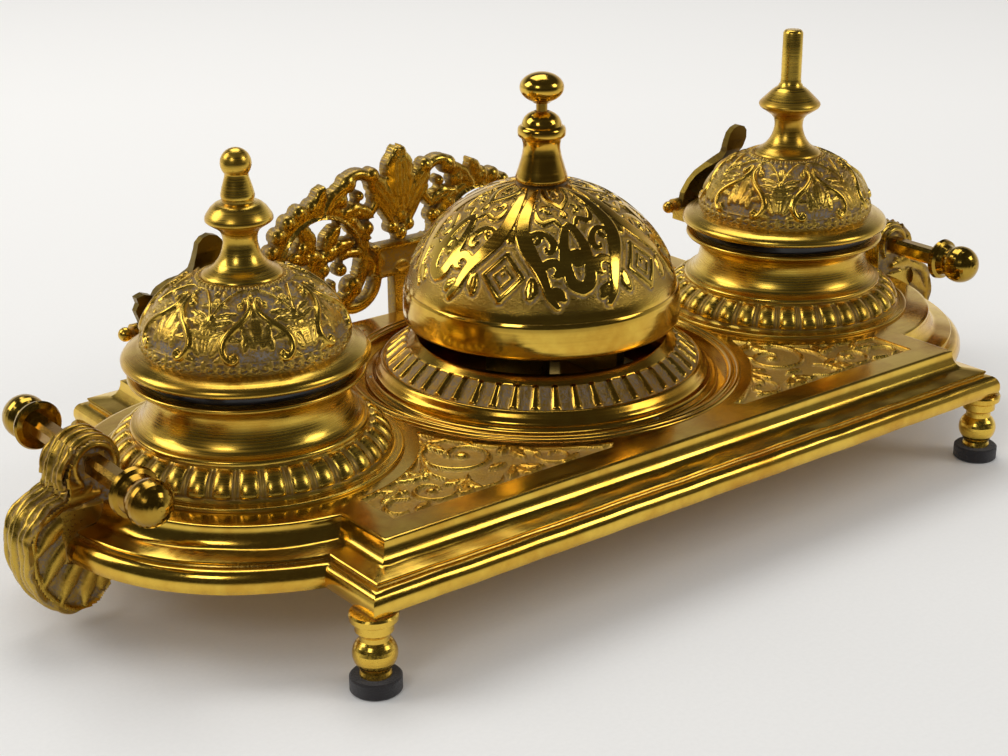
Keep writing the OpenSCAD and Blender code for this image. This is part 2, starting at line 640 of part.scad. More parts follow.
module bell_column() color(brass) at_bell() difference() {
    translate([0, 0, z_bell_top]) rotate_extrude() polygon(concat(
        [[0, 0], [column_r - 0.3, 0], [column_r, 0.4], [column_r - 0.1, 1.2], [column_r - 0.7, 3.2],
         [column_waist_r + 0.8, 5.4], [column_waist_r + 0.2, 7.2], [column_waist_r, 8.6],
         [column_waist_r + 0.3, column_h - 7.4], [column_waist_r + 0.4, column_h - 6.8]],
        [[column_collar_r - 0.4, column_h - 6.5], [column_collar_r, column_h - 6],
         [column_collar_r, column_h - 4.3], [column_collar_r - 0.4, column_h - 3.8],
         [column_collar_r - 1, column_h - 3.5]],
        [for (a = [10:16:74]) [(column_collar_r - 1) * cos(a), column_h - 3.5 + 3.5 * sin(a)]],
        [[rod_r + 0.6, column_h], [0, column_h]]));
    bored(stud_r, z_bell_top - 1, z_column - 2.9);
    bored(rod_r + running, z_bell_top, z_column + 1);
}

rod_collar_r = stud_r - loose;
rod_collar_h = 1.2;
z_rod_collar = z_column - 2.9 - rod_collar_h;
neck_gap = lever_t / 2 + 0.8;
fork_collar_r = 2.2;
module push_rod() color(steel) at_bell() {
    bored(rod_r, z_pivot - neck_gap - 1.4, z_knob - knob_half_h + 2);
    bored(rod_collar_r, z_rod_collar, z_rod_collar + rod_collar_h);
    bored(fork_collar_r, z_pivot + neck_gap, z_pivot + neck_gap + 1);
}
module rod_nut() color(steel) at_bell() difference() {
    bored(fork_collar_r, z_pivot - neck_gap - 1.4, z_pivot - neck_gap);
    bored(rod_r, z_pivot - neck_gap - 2, z_pivot);
}
module push_knob() color(brass) at_bell() difference() {
    rotate_extrude() polygon(concat([[0, z_knob - knob_half_h], [2.2, z_knob - knob_half_h]],
        arc([0, z_knob], knob_r, knob_half_h, -62, 90, 14)));
    bored(rod_r, z_knob - knob_half_h - 1, z_knob - knob_half_h + 2);
}

spring_r = rod_r + wire_r + 0.35;
spring_h = z_rod_collar - z_post_top;
spring_steps = 14;
// the return spring: a round wire swept along a helix between the post and the rod's collar
module return_spring() color(steel) at_bell() {
    n = spring_turns * spring_steps;
    sides = 6;
    rise = spring_h - 2 * wire_r - 0.04;
    rings = [for (i = [0:n]) let (a = 360 * i / spring_steps, z = z_post_top + wire_r + 0.02 + rise * i / n)
        [for (j = [0:sides - 1]) let (b = 360 * j / sides, r = spring_r + wire_r * cos(b))
            [r * cos(a), r * sin(a), z + wire_r * sin(b)]]];
    walls = [for (i = [0:n - 1], j = [0:sides - 1]) let (k = (j + 1) % sides)
        [i * sides + j, (i + 1) * sides + j, (i + 1) * sides + k, i * sides + k]];
    ends = [[for (j = [0:sides - 1]) j], [for (j = [sides - 1:-1:0]) n * sides + j]];
    polyhedron(points = [for (ring = rings, p = ring) p], faces = concat(walls, ends), convexity = 8);
}

lever_y0 = -lever_arm;
lever_y1 = 21;
slot_half = 2.5;
lever_barrel_r = 2.3;
lever_barrel_half = bridge_half - bridge_t - loose;
module striker_lever() color(dark_brass) at_bell() difference() {
    union() {
        translate([-2.5, lever_y0, z_pivot - lever_t / 2]) cube([5, lever_y1 - lever_y0, lever_t]);
        translate([0, 0, z_pivot - lever_t / 2]) cylinder(r = 4.4, h = lever_t);
        translate([-lever_barrel_half, lever_y0, z_pivot]) rotate([0, 90, 0])
            cylinder(r = lever_barrel_r, h = 2 * lever_barrel_half);
    }
    translate([-lever_barrel_half - 1, lever_y0, z_pivot]) rotate([0, 90, 0])
        cylinder(r = pivot_r + running, h = 2 * lever_barrel_half + 2);
    translate([-rod_r - loose, -slot_half, z_pivot - 2]) cube([2 * (rod_r + loose), 2 * slot_half, 4]);
    translate([0, lever_y1 - 3, 0]) bored(hammer_foot_r, z_pivot - 2, z_pivot + 2);
}
module striker_pin() color(steel) at_bell() translate([-bridge_half - 0.6, lever_y0, z_pivot])
    rotate([0, 90, 0]) cylinder(r = pivot_r, h = 2 * bridge_half + 1.2);
hammer_foot_r = 1.2;
stem_r = 0.9;
// the hammer: a riveted foot, a slanted stem and a ball under the bell's rim
module striker_hammer() color(brass) at_bell() {
    foot = [0, lever_y1 - 3, z_pivot + lever_t / 2];
    ball = [0, hammer_y, z_pivot + hammer_h];
    reach = ball - foot;
    translate([0, lever_y1 - 3, 0]) {
        bored(hammer_foot_r, z_pivot - lever_t / 2, z_pivot + lever_t / 2 + eps);
        bored(hammer_foot_r + 0.9, z_pivot + lever_t / 2, z_pivot + lever_t / 2 + 1.4);
    }
    translate(foot + [0, 0, 0.8]) rotate([-atan2(reach[1], reach[2] - 0.8), 0, 0])
        cylinder(r = stem_r, h = norm(reach - [0, 0, 0.8]));
    translate(ball) sphere(hammer_r);
}

/* ---- handles ---- */

bracket_screw_r = 1.5;
z_counter = z_under + 3;
bracket_screw_x = handle_x - 3.4;
module bracket_screw_places() for (s = [-1, 1]) translate([s * bracket_screw_x, 0, 0]) children();
module bracket_screws() color(steel) bracket_screw_places()
    screw(bracket_screw_r, z_counter - head_h, z_top + 2.4);

// the side of the left bracket, over its bar's axis: a leaf scroll that hooks round the plate
module bracket_side() {
    e = -plate_end;
    o = e - bracket_reach;
    polygon(concat(
        [[6.2 - handle_x, z_bar - 1], [e + 14.4, z_top - 2.2], [e + 10.8, z_under - 0.5]],
        [[e + 9.2, z_under - 4.6], [e + 10.2, z_under - 8.6]],
        arc([o + 12, z_under - 3.6], 7.6, 8.5, -50, -90, 5),
        arc([o + 10, z_under + 2], 10, 14, -100, -180, 8),
        [[o + 0.5, z_top - 4.2], [o + 2.1, z_top - 1.6], [o + 4.9, z_top + 0.6],
         [o + 7.9, z_top + 1.4], [e + 1.4, z_top + 2.2], [e + 1.6, z_top + 4.4],
         [e + 0.9, z_top + 6.4], [-handle_x - 6.3, z_bar]]));
}
module bar_outline(w) {
    c = w * 0.22;
    h = w / 2;
    polygon([[-h + c, -h], [h - c, -h], [h, -h + c], [h, h - c], [h - c, h], [-h + c, h],
             [-h, h - c], [-h, -h + c]]);
}
module left_bracket() color(brass) difference() {
    union() {
        translate([0, bracket_w / 2, 0]) rotate([90, 0, 0]) linear_extrude(bracket_w) bracket_side();
        translate([-handle_x, bracket_w / 2, z_bar]) rotate([90, 0, 0])
            cylinder(r = knuckle_r, h = bracket_w);
        for (t = [-1, 0, 1]) translate([-handle_x, t * bracket_w / 3, z_bar]) rotate([90, 0, 0])
            rotate_extrude() translate([knuckle_r - 0.3, 0]) circle(0.9, $fn = 16);
    }
    translate([0, 0, z_under]) moulded_lobe(-1);
    translate([-handle_x, bracket_w, z_bar]) rotate([90, 0, 0])
        linear_extrude(2 * bracket_w) bar_outline(bar_w);
    translate([-bracket_screw_x, 0, 0]) bored(bracket_screw_r, z_top - 4, z_top + 2.4);
}
module left_handle_bar() color(brass) translate([-handle_x, bar_half, z_bar])
    rotate([90, 0, 0]) linear_extrude(2 * bar_half) bar_outline(bar_w);
disc_w = 2;
ball_gap = 3;
module left_handle_knobs() color(brass) for (s = [-1, 1])
    translate([-handle_x, s * bar_half, z_bar]) rotate([-90 * s, 0, 0]) rotate_extrude()
        polygon(concat(
            [[0, 0], [handle_disc_r - 1.6, 0], [handle_disc_r - 0.4, 0.4], [handle_disc_r, 1],
             [handle_disc_r - 0.3, disc_w], [handle_disc_r - 1.2, disc_w + 0.5],
             [handle_disc_r - 1.8, disc_w + ball_gap * 0.7]],
            arc([0, disc_w + ball_gap + handle_ball_r * 0.55], handle_ball_r, handle_ball_r,
                -38, 90, 12)));

/* ---- gallery ---- */

gallery_y = plate_half_dep - gallery_inset;
gallery_screw_r = 0.8;
gallery_screw_y = gallery_y - 0.2;
z_gallery_head = z_under + head_h + 0.8;
cartouche_w = 9;
module gallery_screw_places() for (x = [-scroll_x, 0, scroll_x]) translate([x, gallery_screw_y, 0])
    children();
module gallery_screws() color(steel) gallery_screw_places()
    screw(gallery_screw_r, z_gallery_head - head_h, z_top + 1);
module band(r, w) difference() {
    circle(r);
    circle(r - w);
}
// a pointed leaf: the overlap of two circles, from its foot at the origin along +X
module leaf(l, w) {
    r = (l * l + w * w) / (4 * w);
    translate([l / 2, 0]) intersection() {
        translate([0, r - w / 2]) circle(r);
        translate([0, w / 2 - r]) circle(r);
    }
}
module spray(at, r, list) for (a = list) translate(at) rotate(a[0]) translate([r, 0]) leaf(a[1], a[2]);
z_cart = scroll_z - 3.2;
module half_gallery() {
    translate([-scroll_x, scroll_z]) band(scroll_r, scroll_w);
    spray([-scroll_x, scroll_z], scroll_r - 2.4, [[20, 5, 3.4], [48, 6, 4], [70, 7, 4.6],
        [95, 6, 4.4], [122, 6.5, 4.6], [150, 5, 4], [178, 4.6, 4]]);
    spray([-scroll_x + 8.4, scroll_z + 9], -1, [[195, 13, 5], [232, 15, 5.6], [265, 10, 5]]);
    translate([-scroll_x + 2, scroll_z + 2]) circle(2.8);
    translate([-scroll_x - 3, scroll_z + 5.2]) circle(2.2);
    translate([-scroll_x + 10.5, scroll_z - 6.5]) band(10.3, 3.8);
    translate([-scroll_x + 10.5, scroll_z - 9.4]) circle(3.2);
    spray([-scroll_x + 10.5, scroll_z - 6.5], 2.4, [[60, 7, 3.4], [120, 6, 3]]);
    spray([0, z_cart + 6], 2, [[78, 21, 6], [112, 20, 6.4], [146, 17, 6], [172, 13, 5]]);
    translate([-14.6, z_cart + 21]) band(7.4, 3.4);
    spray([-14.6, z_cart + 21], 5.2, [[60, 5, 3.6], [95, 5.4, 4], [130, 5, 4], [165, 4.6, 3.6]]);
}
module gallery_outline() intersection() {
    union() {
        both_ends() half_gallery();
        translate([0, z_cart + 6]) rotate(90) translate([1, 0]) leaf(25, 7);
        translate([-cartouche_w, z_cart - 5]) square([2 * cartouche_w, 10]);
        translate([-scroll_x, z_cart - 2.2]) square([2 * scroll_x, 4.4]);
        for (x = [-scroll_x, 0, scroll_x]) translate([x - 4, -6]) square([8, 8.5]);
        translate([-3.6, -2]) square([7.2, z_cart]);
    }
    translate([-60, -7]) square([120, 60]);
}
cartouche_lip = 1.2;
module rear_gallery() color(brass) difference() {
    translate([0, gallery_y + gallery_t / 2, z_top]) rotate([90, 0, 0]) {
        linear_extrude(gallery_t) gallery_outline();
        linear_extrude(gallery_t + 1.2) difference() {
            translate([-cartouche_w, z_cart - 5]) square([2 * cartouche_w, 10]);
            translate([-cartouche_w + cartouche_lip, z_cart - 5 + cartouche_lip])
                square([2 * (cartouche_w - cartouche_lip), 10 - 2 * cartouche_lip]);
        }
    }
    moulded_plate();
    gallery_screw_places() bored(gallery_screw_r, z_under, z_top + 1);
}

/* ---- the pieces, one node each ---- */

base_plate();
foot(-1, -1);  // front_left_foot
foot(1, -1);  // front_right_foot
foot(-1, 1);  // rear_left_foot
foot(1, 1);  // rear_right_foot
pad(-1, -1);  // front_left_pad
pad(1, -1);  // front_right_pad
pad(-1, 1);  // rear_left_pad
pad(1, 1);  // rear_right_pad
at_left() collar();  // left_collar
at_right() collar();  // right_collar
at_left() well();  // left_well
at_right() well();  // right_well
well_screws();
at_left() ink_pot();  // left_ink_pot
at_right() ink_pot();  // right_ink_pot
at_left() hinge_pin();  // left_hinge_pin
at_right() hinge_pin();  // right_hinge_pin
at_left() lid();  // left_lid
at_right() lid();  // right_lid
at_left() lid_leaf();  // left_lid_leaf
at_right() lid_leaf();  // right_lid_leaf
at_left() left_finial();
at_right() right_finial();
at_left() finial_nut();  // left_finial_nut
at_right() finial_nut();  // right_finial_nut
bell_ring();
bell_ring_screws();
bell_bridge();
bridge_screws();
bell_post();
bell();
bell_column();
push_rod();
push_knob();
rod_nut();
return_spring();
striker_lever();
striker_pin();
striker_hammer();
left_bracket();
mirror([1, 0, 0]) left_bracket();  // right_bracket
bracket_screws();
left_handle_bar();
mirror([1, 0, 0]) left_handle_bar();  // right_handle_bar
left_handle_knobs();
mirror([1, 0, 0]) left_handle_knobs();  // right_handle_knobs
rear_gallery();
gallery_screws();
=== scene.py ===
"""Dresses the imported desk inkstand: polished brass castings with their relief, felt pads and glass pots."""

import math

import bmesh
import bpy
import numpy as np
from bpy.props import FloatProperty, FloatVectorProperty, IntProperty, PointerProperty
from mathutils import Matrix, Vector


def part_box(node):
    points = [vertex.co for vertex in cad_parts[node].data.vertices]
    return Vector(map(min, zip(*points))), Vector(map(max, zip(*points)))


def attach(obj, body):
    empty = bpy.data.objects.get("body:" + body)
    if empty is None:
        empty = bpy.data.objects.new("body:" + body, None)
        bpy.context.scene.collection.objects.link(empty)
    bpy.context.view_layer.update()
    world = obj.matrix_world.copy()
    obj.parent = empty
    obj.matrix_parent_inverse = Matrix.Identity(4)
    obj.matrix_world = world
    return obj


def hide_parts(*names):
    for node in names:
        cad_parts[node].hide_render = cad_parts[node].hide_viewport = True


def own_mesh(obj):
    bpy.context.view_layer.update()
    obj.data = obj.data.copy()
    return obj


bl_info = {
    "name": "Desk Inkstand",
    "version": (1, 0, 0),
    "blender": (4, 5, 0),
    "location": "3D View > Sidebar > Inkstand",
    "description": "Models the castings, turnings and finishes of a brass desk inkstand",
    "category": "Object",
}

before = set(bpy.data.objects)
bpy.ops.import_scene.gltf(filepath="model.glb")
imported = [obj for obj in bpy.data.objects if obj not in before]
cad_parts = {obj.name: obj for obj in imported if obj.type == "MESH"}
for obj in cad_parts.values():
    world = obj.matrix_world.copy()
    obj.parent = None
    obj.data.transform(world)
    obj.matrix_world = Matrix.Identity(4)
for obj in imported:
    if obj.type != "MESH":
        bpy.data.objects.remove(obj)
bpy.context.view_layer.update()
MM = 0.001
BACKDROP_WAY = (0.61, 0.79, 0.0)
SIDES = (("left", -1), ("right", 1))


class StageSettings(bpy.types.PropertyGroup):
    """Camera, floor and light."""

    camera_at: FloatVectorProperty(
        name="Camera", description="Place of the camera", default=(-0.29295, -0.35913, 0.20664),
        unit="LENGTH")
    yaw: FloatProperty(
        name="Yaw", description="Turn of the view to the right of +Y", default=0.6614, unit="ROTATION")
    pitch: FloatProperty(
        name="Pitch", description="Tilt of the view above the horizon", default=-0.36876, unit="ROTATION")
    roll: FloatProperty(
        name="Roll", description="Turn of the view about its own axis", default=-0.00535, unit="ROTATION")
    lens: FloatProperty(name="Lens", description="Focal length in millimetres", default=66.1)
    floor_tone: FloatVectorProperty(
        name="Floor", description="Colour of the floor", default=(0.84, 0.835, 0.82), subtype="COLOR")
    backdrop_tone: FloatVectorProperty(
        name="Backdrop", description="Colour seen behind the object", default=(0.93, 0.92, 0.90),
        subtype="COLOR")
    key_power: FloatProperty(name="Key light", description="Power of the key light", default=6.4,
                             unit="POWER")
    sky_tone: FloatProperty(
        name="Room", description="Brightness of the room above the object", default=0.035, min=0)


class FinishSettings(bpy.types.PropertyGroup):
    """Colours of the finishes."""

    gold: FloatVectorProperty(
        name="Gold", description="Polished brass", default=(0.80, 0.53, 0.08), subtype="COLOR")
    warm: FloatVectorProperty(
        name="Warm", description="Toned brass", default=(0.55, 0.28, 0.028), subtype="COLOR")
    toned: FloatVectorProperty(
        name="Toned", description="Dull brass of the ground between the ornaments",
        default=(0.33, 0.20, 0.045),
        subtype="COLOR")
    residue: FloatVectorProperty(
        name="Residue", description="Dried polish in the recesses", default=(0.215, 0.19, 0.175),
        subtype="COLOR")
    felt: FloatVectorProperty(
        name="Felt", description="Felt pads", default=(0.012, 0.010, 0.011), subtype="COLOR")
    steel: FloatVectorProperty(
        name="Steel", description="Screws and springs", default=(0.50, 0.49, 0.47), subtype="COLOR")


class ReliefSettings(bpy.types.PropertyGroup):
    """Depth and fineness of the cast ornament."""

    lid_depth: FloatProperty(
        name="Lid relief", description="Height of the lids' ornament", default=1.15 * MM, unit="LENGTH")
    bell_depth: FloatProperty(
        name="Bell relief", description="Height of the bell's ornament", default=0.55 * MM, unit="LENGTH")
    panel_depth: FloatProperty(
        name="Panel relief", description="Height of the panels' ornament", default=1.1 * MM, unit="LENGTH")
    lid_units: IntProperty(name="Lid hearts", description="Hearts around a lid", default=6, min=3)
    bell_units: IntProperty(name="Bell units", description="Lozenges around the bell", default=5, min=3)
    lobes: IntProperty(name="Lobes", description="Lobes around a collar", default=34, min=12)
    flutes: IntProperty(name="Flutes", description="Flutes around the bell's ring", default=48, min=12)


def stage_settings():
    return bpy.context.scene.inkstand_stage


def finish():
    return bpy.context.scene.inkstand_finish


def relief():
    return bpy.context.scene.inkstand_relief


# ---- curves -------------------------------------------------------------------------------------


def smooth(points, step=0.5):
    """A smooth curve through the points, with a point about every step millimetres."""
    p = np.array(points, float)
    ends = np.vstack([2 * p[0] - p[1], p, 2 * p[-1] - p[-2]])
    out = []
    for i in range(len(p) - 1):
        a, b, c, d = ends[i:i + 4]
        n = max(2, int(math.ceil(np.linalg.norm(c[:2] - b[:2]) / step)))
        t = np.linspace(0, 1, n, endpoint=False)[:, None]
        out.append(0.5 * (2 * b + (c - a) * t + (2 * a - 5 * b + 4 * c - d) * t ** 2
                          + (3 * b - a - 3 * c + d) * t ** 3))
    return np.vstack(out + [p[-1:]])


def straight(points, step=0.5):
    """A line through the points with sharp corners, with a point about every step millimetres."""
    p = np.array(points, float)
    out = []
    for a, b in zip(p[:-1], p[1:]):
        n = max(1, int(math.ceil(np.linalg.norm(b[:2] - a[:2]) / step)))
        out.append(a + (b - a) * np.linspace(0, 1, n, endpoint=False)[:, None])
    return np.vstack(out + [p[-1:]])


def ellipse(centre, rx, ry, start, end, step=0.5):
    """An arc of an ellipse, from one angle in degrees to another."""
    n = max(3, int(abs(math.radians(end - start)) * max(rx, ry) / step))
    a = np.radians(np.linspace(start, end, n))
    return np.stack([centre[0] + rx * np.cos(a), centre[1] + ry * np.sin(a)], 1)


def spiral(centre, r0, r1, start, end, step=0.4):
    """A spiral from radius r0 to r1 between two angles in degrees."""
    n = max(6, int(abs(math.radians(end - start)) * max(r0, r1) / step))
    t = np.linspace(0, 1, n)
    a = np.radians(start + (end - start) * t)
    r = r0 + (r1 - r0) * t
    return np.stack([centre[0] + r * np.cos(a), centre[1] + r * np.sin(a)], 1)


def joined(*lines):
    """Several curves end to end, without doubled points."""
    p = np.vstack(lines)
    keep = np.ones(len(p), bool)
    keep[1:] = np.linalg.norm(np.diff(p, axis=0), axis=1) > 1e-4
    return p[keep]


def run_along(points):
    """How far each point lies along a line."""
    return np.concatenate([[0], np.cumsum(np.linalg.norm(np.diff(np.array(points), axis=0), axis=1))])


# ---- ornament drawn with strokes ----------------------------------------------------------------


PAIRS_AT_ONCE = 4000000


class Ornament:
    """Strokes in a plane, in millimetres. Each has a width and a height along its line."""

    def __init__(self):
        self.strokes = []

    def add(self, line, width, height=1.0, taper=(0.35, 0.35), kind="round", swell=0.0):
        """A stroke along a line. taper gives the share of the width left at its two ends."""
        p = np.asarray(line, float)
        t = np.linspace(0, 1, len(p))
        rise = np.minimum(1, np.minimum(taper[0] + (1 - taper[0]) * t / 0.3,
                                        taper[1] + (1 - taper[1]) * (1 - t) / 0.3))
        half = width / 2 * rise * (1 + swell * np.sin(math.pi * t))
        self.strokes.append((p, half, height, kind))

    def leaf(self, foot, angle, length, width, height=1.0, bend=0.0):
        """A pointed leaf from its foot, with its veined ridge bent by an angle in degrees."""
        t = np.linspace(0, 1, 22)
        a = np.radians(angle + bend * t)
        step = length / (len(t) - 1)
        p = np.array(foot) + np.cumsum(np.stack([np.cos(a), np.sin(a)], 1) * step, 0) - step
        half = width / 2 * np.sin(math.pi * np.clip(t * 0.93 + 0.05, 0, 1)) ** 0.8
        half *= 0.78 + 0.34 * np.abs(np.sin(3.5 * math.pi * t))
        self.strokes.append((p, half, height, "leaf"))

    def berry(self, at, r, height=1.0):
        self.strokes.append((np.array([at, at], float), np.array([r, r]), height, "round"))

    def mirrored(self):
        """Adds every stroke's mirror image about the first axis' zero."""
        self.strokes += [(p * np.array([-1, 1]), half, h, kind) for p, half, h, kind in self.strokes]
        return self

    def measure(self, points):
        """Height of the ornament at each point, and the signed distance inside its outline."""
        q = np.asarray(points, float)
        height = np.zeros(len(q))
        inside = np.full(len(q), -1e9)
        for line, half, top, kind in self.strokes:
            reach = half.max() + 2.5
            near = np.where((q[:, 0] > line[:, 0].min() - reach) & (q[:, 0] < line[:, 0].max() + reach)
                            & (q[:, 1] > line[:, 1].min() - reach) & (q[:, 1] < line[:, 1].max() + reach))[0]
            for part in np.array_split(near, max(1, len(near) * len(line) // PAIRS_AT_ONCE + 1)):
                if not len(part):
                    continue
                depth, across = stroke_depth(q[part], line, half)
                inside[part] = np.maximum(inside[part], depth)
                height[part] = np.maximum(height[part], top * stroke_height(depth, across, kind))
        return height, inside


def stroke_depth(q, line, half):
    """How far each point lies inside a stroke, and its place from the middle (0) to the edge (1)."""
    if len(line) == 2 and np.allclose(line[0], line[1]):
        d = np.linalg.norm(q - line[0], axis=1)
        return half[0] - d, d / half[0]
    a, b = line[:-1], line[1:]
    ab = b - a
    length2 = np.maximum((ab ** 2).sum(1), 1e-12)
    t = np.clip(((q[:, None] - a[None]) * ab[None]).sum(2) / length2, 0, 1)
    d = np.linalg.norm(q[:, None] - (a[None] + ab[None] * t[..., None]), axis=2)
    w = half[:-1] + (half[1:] - half[:-1]) * t
    best = np.argmax(w - d, axis=1)
    rows = np.arange(len(q))
    return (w - d)[rows, best], (d / np.maximum(w, 1e-6))[rows, best]


def stroke_height(depth, across, kind):
    """The cross-section of a stroke: round, flat with soft shoulders, or a leaf with a vein."""
    inside = np.clip(1 - across, 0, 1)
    if kind == "flat":
        return np.clip(depth / 0.35, 0, 1) ** 0.6
    if kind == "leaf":
        return np.where(depth > 0, 0.35 + 0.65 * np.sqrt(inside) - 0.28 * np.exp(-(across / 0.16) ** 2), 0)
    return np.sqrt(np.clip(1 - across ** 2, 0, 1))


# ---- meshes -------------------------------------------------------------------------------------


def middle(node):
    """The middle of a node's box, in millimetres."""
    lo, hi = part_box(node)
    return (Vector(lo) + Vector(hi)) / 2 / MM


def low(node):
    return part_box(node)[0][2] / MM


def high(node):
    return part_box(node)[1][2] / MM


def new_piece(name, bm, body, look, replaces=(), sharp=40):
    """Turns a bmesh in millimetres into a finished piece that rides on a body."""
    bmesh.ops.scale(bm, vec=(MM, MM, MM), verts=bm.verts)
    mesh = bpy.data.meshes.new(name)
    bm.to_mesh(mesh)
    bm.free()
    for polygon in mesh.polygons:
        polygon.use_smooth = True
    mesh.set_sharp_from_angle(angle=math.radians(sharp))
    mesh.materials.append(material(look))
    piece = bpy.data.objects.new(name, mesh)
    bpy.context.scene.collection.objects.link(piece)
    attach(piece, body)
    if replaces:
        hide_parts(*replaces)
    return piece


def spun(profile, at, steps=96):
    """A bmesh turned from a profile of (radius, height) about a vertical axis at a point."""
    bm = bmesh.new()
    verts = [bm.verts.new((max(r, 0.0), 0, at[2] + h)) for r, h in profile]
    edges = [bm.edges.new(pair) for pair in zip(verts[:-1], verts[1:])]
    bmesh.ops.spin(bm, geom=verts + edges, cent=(0, 0, 0), axis=(0, 0, 1), dvec=(0, 0, 0),
                   angle=math.tau, steps=steps, use_merge=True, use_duplicate=False)
    bmesh.ops.remove_doubles(bm, verts=bm.verts, dist=1e-5)
    bmesh.ops.recalc_face_normals(bm, faces=bm.faces)
    bmesh.ops.translate(bm, vec=(at[0], at[1], 0), verts=bm.verts)
    return bm


def turning(name, body, look, node, profile, at):
    """A turned piece that replaces a node."""
    new_piece(name, spun(profile, at), body, look, [node], sharp=46)


def rolled(profile, at, steps):
    """A fine grid rolled round a vertical axis at a point, for castings that carry relief."""
    bm = bmesh.new()
    place = bm.verts.layers.float.new("along")
    profile = [(r, at[2] + h) for r, h in profile]
    run, last = run_along(profile), len(profile) - 1
    bmesh.ops.create_grid(bm, x_segments=steps, y_segments=last, size=0.5)
    for v in bm.verts:
        turn = math.tau * (v.co.x + 0.5)
        row = round((v.co.y + 0.5) * last)
        r, z = profile[row]
        v[place] = run[row]
        v.co = (at[0] + r * math.cos(turn), at[1] + r * math.sin(turn), z)
    bmesh.ops.remove_doubles(bm, verts=bm.verts, dist=1e-4)
    bmesh.ops.recalc_face_normals(bm, faces=bm.faces)
    return bm


def extruded(bm, edges):
    """Extrudes edges where they lie, and gives the new vertices and edges."""
    made = bmesh.ops.extrude_edge_only(bm, edges=edges)["geom"]
    return ([g for g in made if isinstance(g, bmesh.types.BMVert)],
            [g for g in made if isinstance(g, bmesh.types.BMEdge)])


def backed(bm):
    """Gives a sheet a second side, and returns that side's vertices."""
    made = bmesh.ops.extrude_face_region(bm, geom=list(bm.faces))["geom"]
    return [g for g in made if isinstance(g, bmesh.types.BMVert)]


def cut(bm, gone):
    """Deletes the vertices that are marked in a list as long as theirs."""
    bmesh.ops.delete(bm, geom=[v for v, out in zip(bm.verts, gone) if out], context="VERTS")


def wall_in(bm, at, wall):
    """Gives a round casting its inside wall of (radius, height), extruded from its open rim."""
    place = bm.verts.layers.float["along"]
    rim = [e for e in bm.edges if e.is_boundary and e.verts[0].co.z < at[2] + 0.1]
    for r, h in wall:
        verts, rim = extruded(bm, rim)
        for v in verts:
            side = Vector((v.co.x - at[0], v.co.y - at[1], 0)).normalized() * r
            v.co = (at[0] + side.x, at[1] + side.y, at[2] + h)
            v[place] = -1.0
    bmesh.ops.recalc_face_normals(bm, faces=bm.faces)


def coordinates(mesh):
    co = np.empty(len(mesh.vertices) * 3)
    mesh.vertices.foreach_get("co", co)
    return co.reshape(-1, 3)


def store(mesh, name, values):
    layer = mesh.attributes.get(name) or mesh.attributes.new(name, "FLOAT", "POINT")
    layer.data.foreach_set("value", np.ascontiguousarray(values, dtype=np.float32))


def aged(mesh, residue, sunk):
    """Stores how much residue lies on each point, and how far the point counts as sunk ground."""
    store(mesh, "residue", residue)
    store(mesh, "sunk", sunk)


def casting(name, body, look, node, profile, at, steps, shape, wall=()):
    """A round casting that replaces a node, with relief from shape(angle, along, radius) in mm."""
    bm = rolled(profile, at, steps)
    if wall:
        wall_in(bm, at, wall)
    mesh = new_piece(name, bm, body, look, [node], sharp=50).data
    co = coordinates(mesh)
    normal = np.empty(co.size)
    mesh.vertex_normals.foreach_get("vector", normal)
    along = np.empty(len(co))
    mesh.attributes["along"].data.foreach_get("value", along)
    x, y = co[:, 0] / MM - at[0], co[:, 1] / MM - at[1]
    height, residue, sunk = shape(np.arctan2(y, x), along, np.hypot(x, y))
    co += normal.reshape(-1, 3) * height[:, None] * MM
    mesh.vertices.foreach_set("co", co.ravel())
    aged(mesh, residue, sunk)
    mesh.update()


def both_wells():
    """The left and right well: name prefix, and x and y of its axis in mm."""
    for side, _ in SIDES:
        x, y, _ = middle(f"{side}_lid")
        yield side, x, y


# ---- finishes -----------------------------------------------------------------------------------


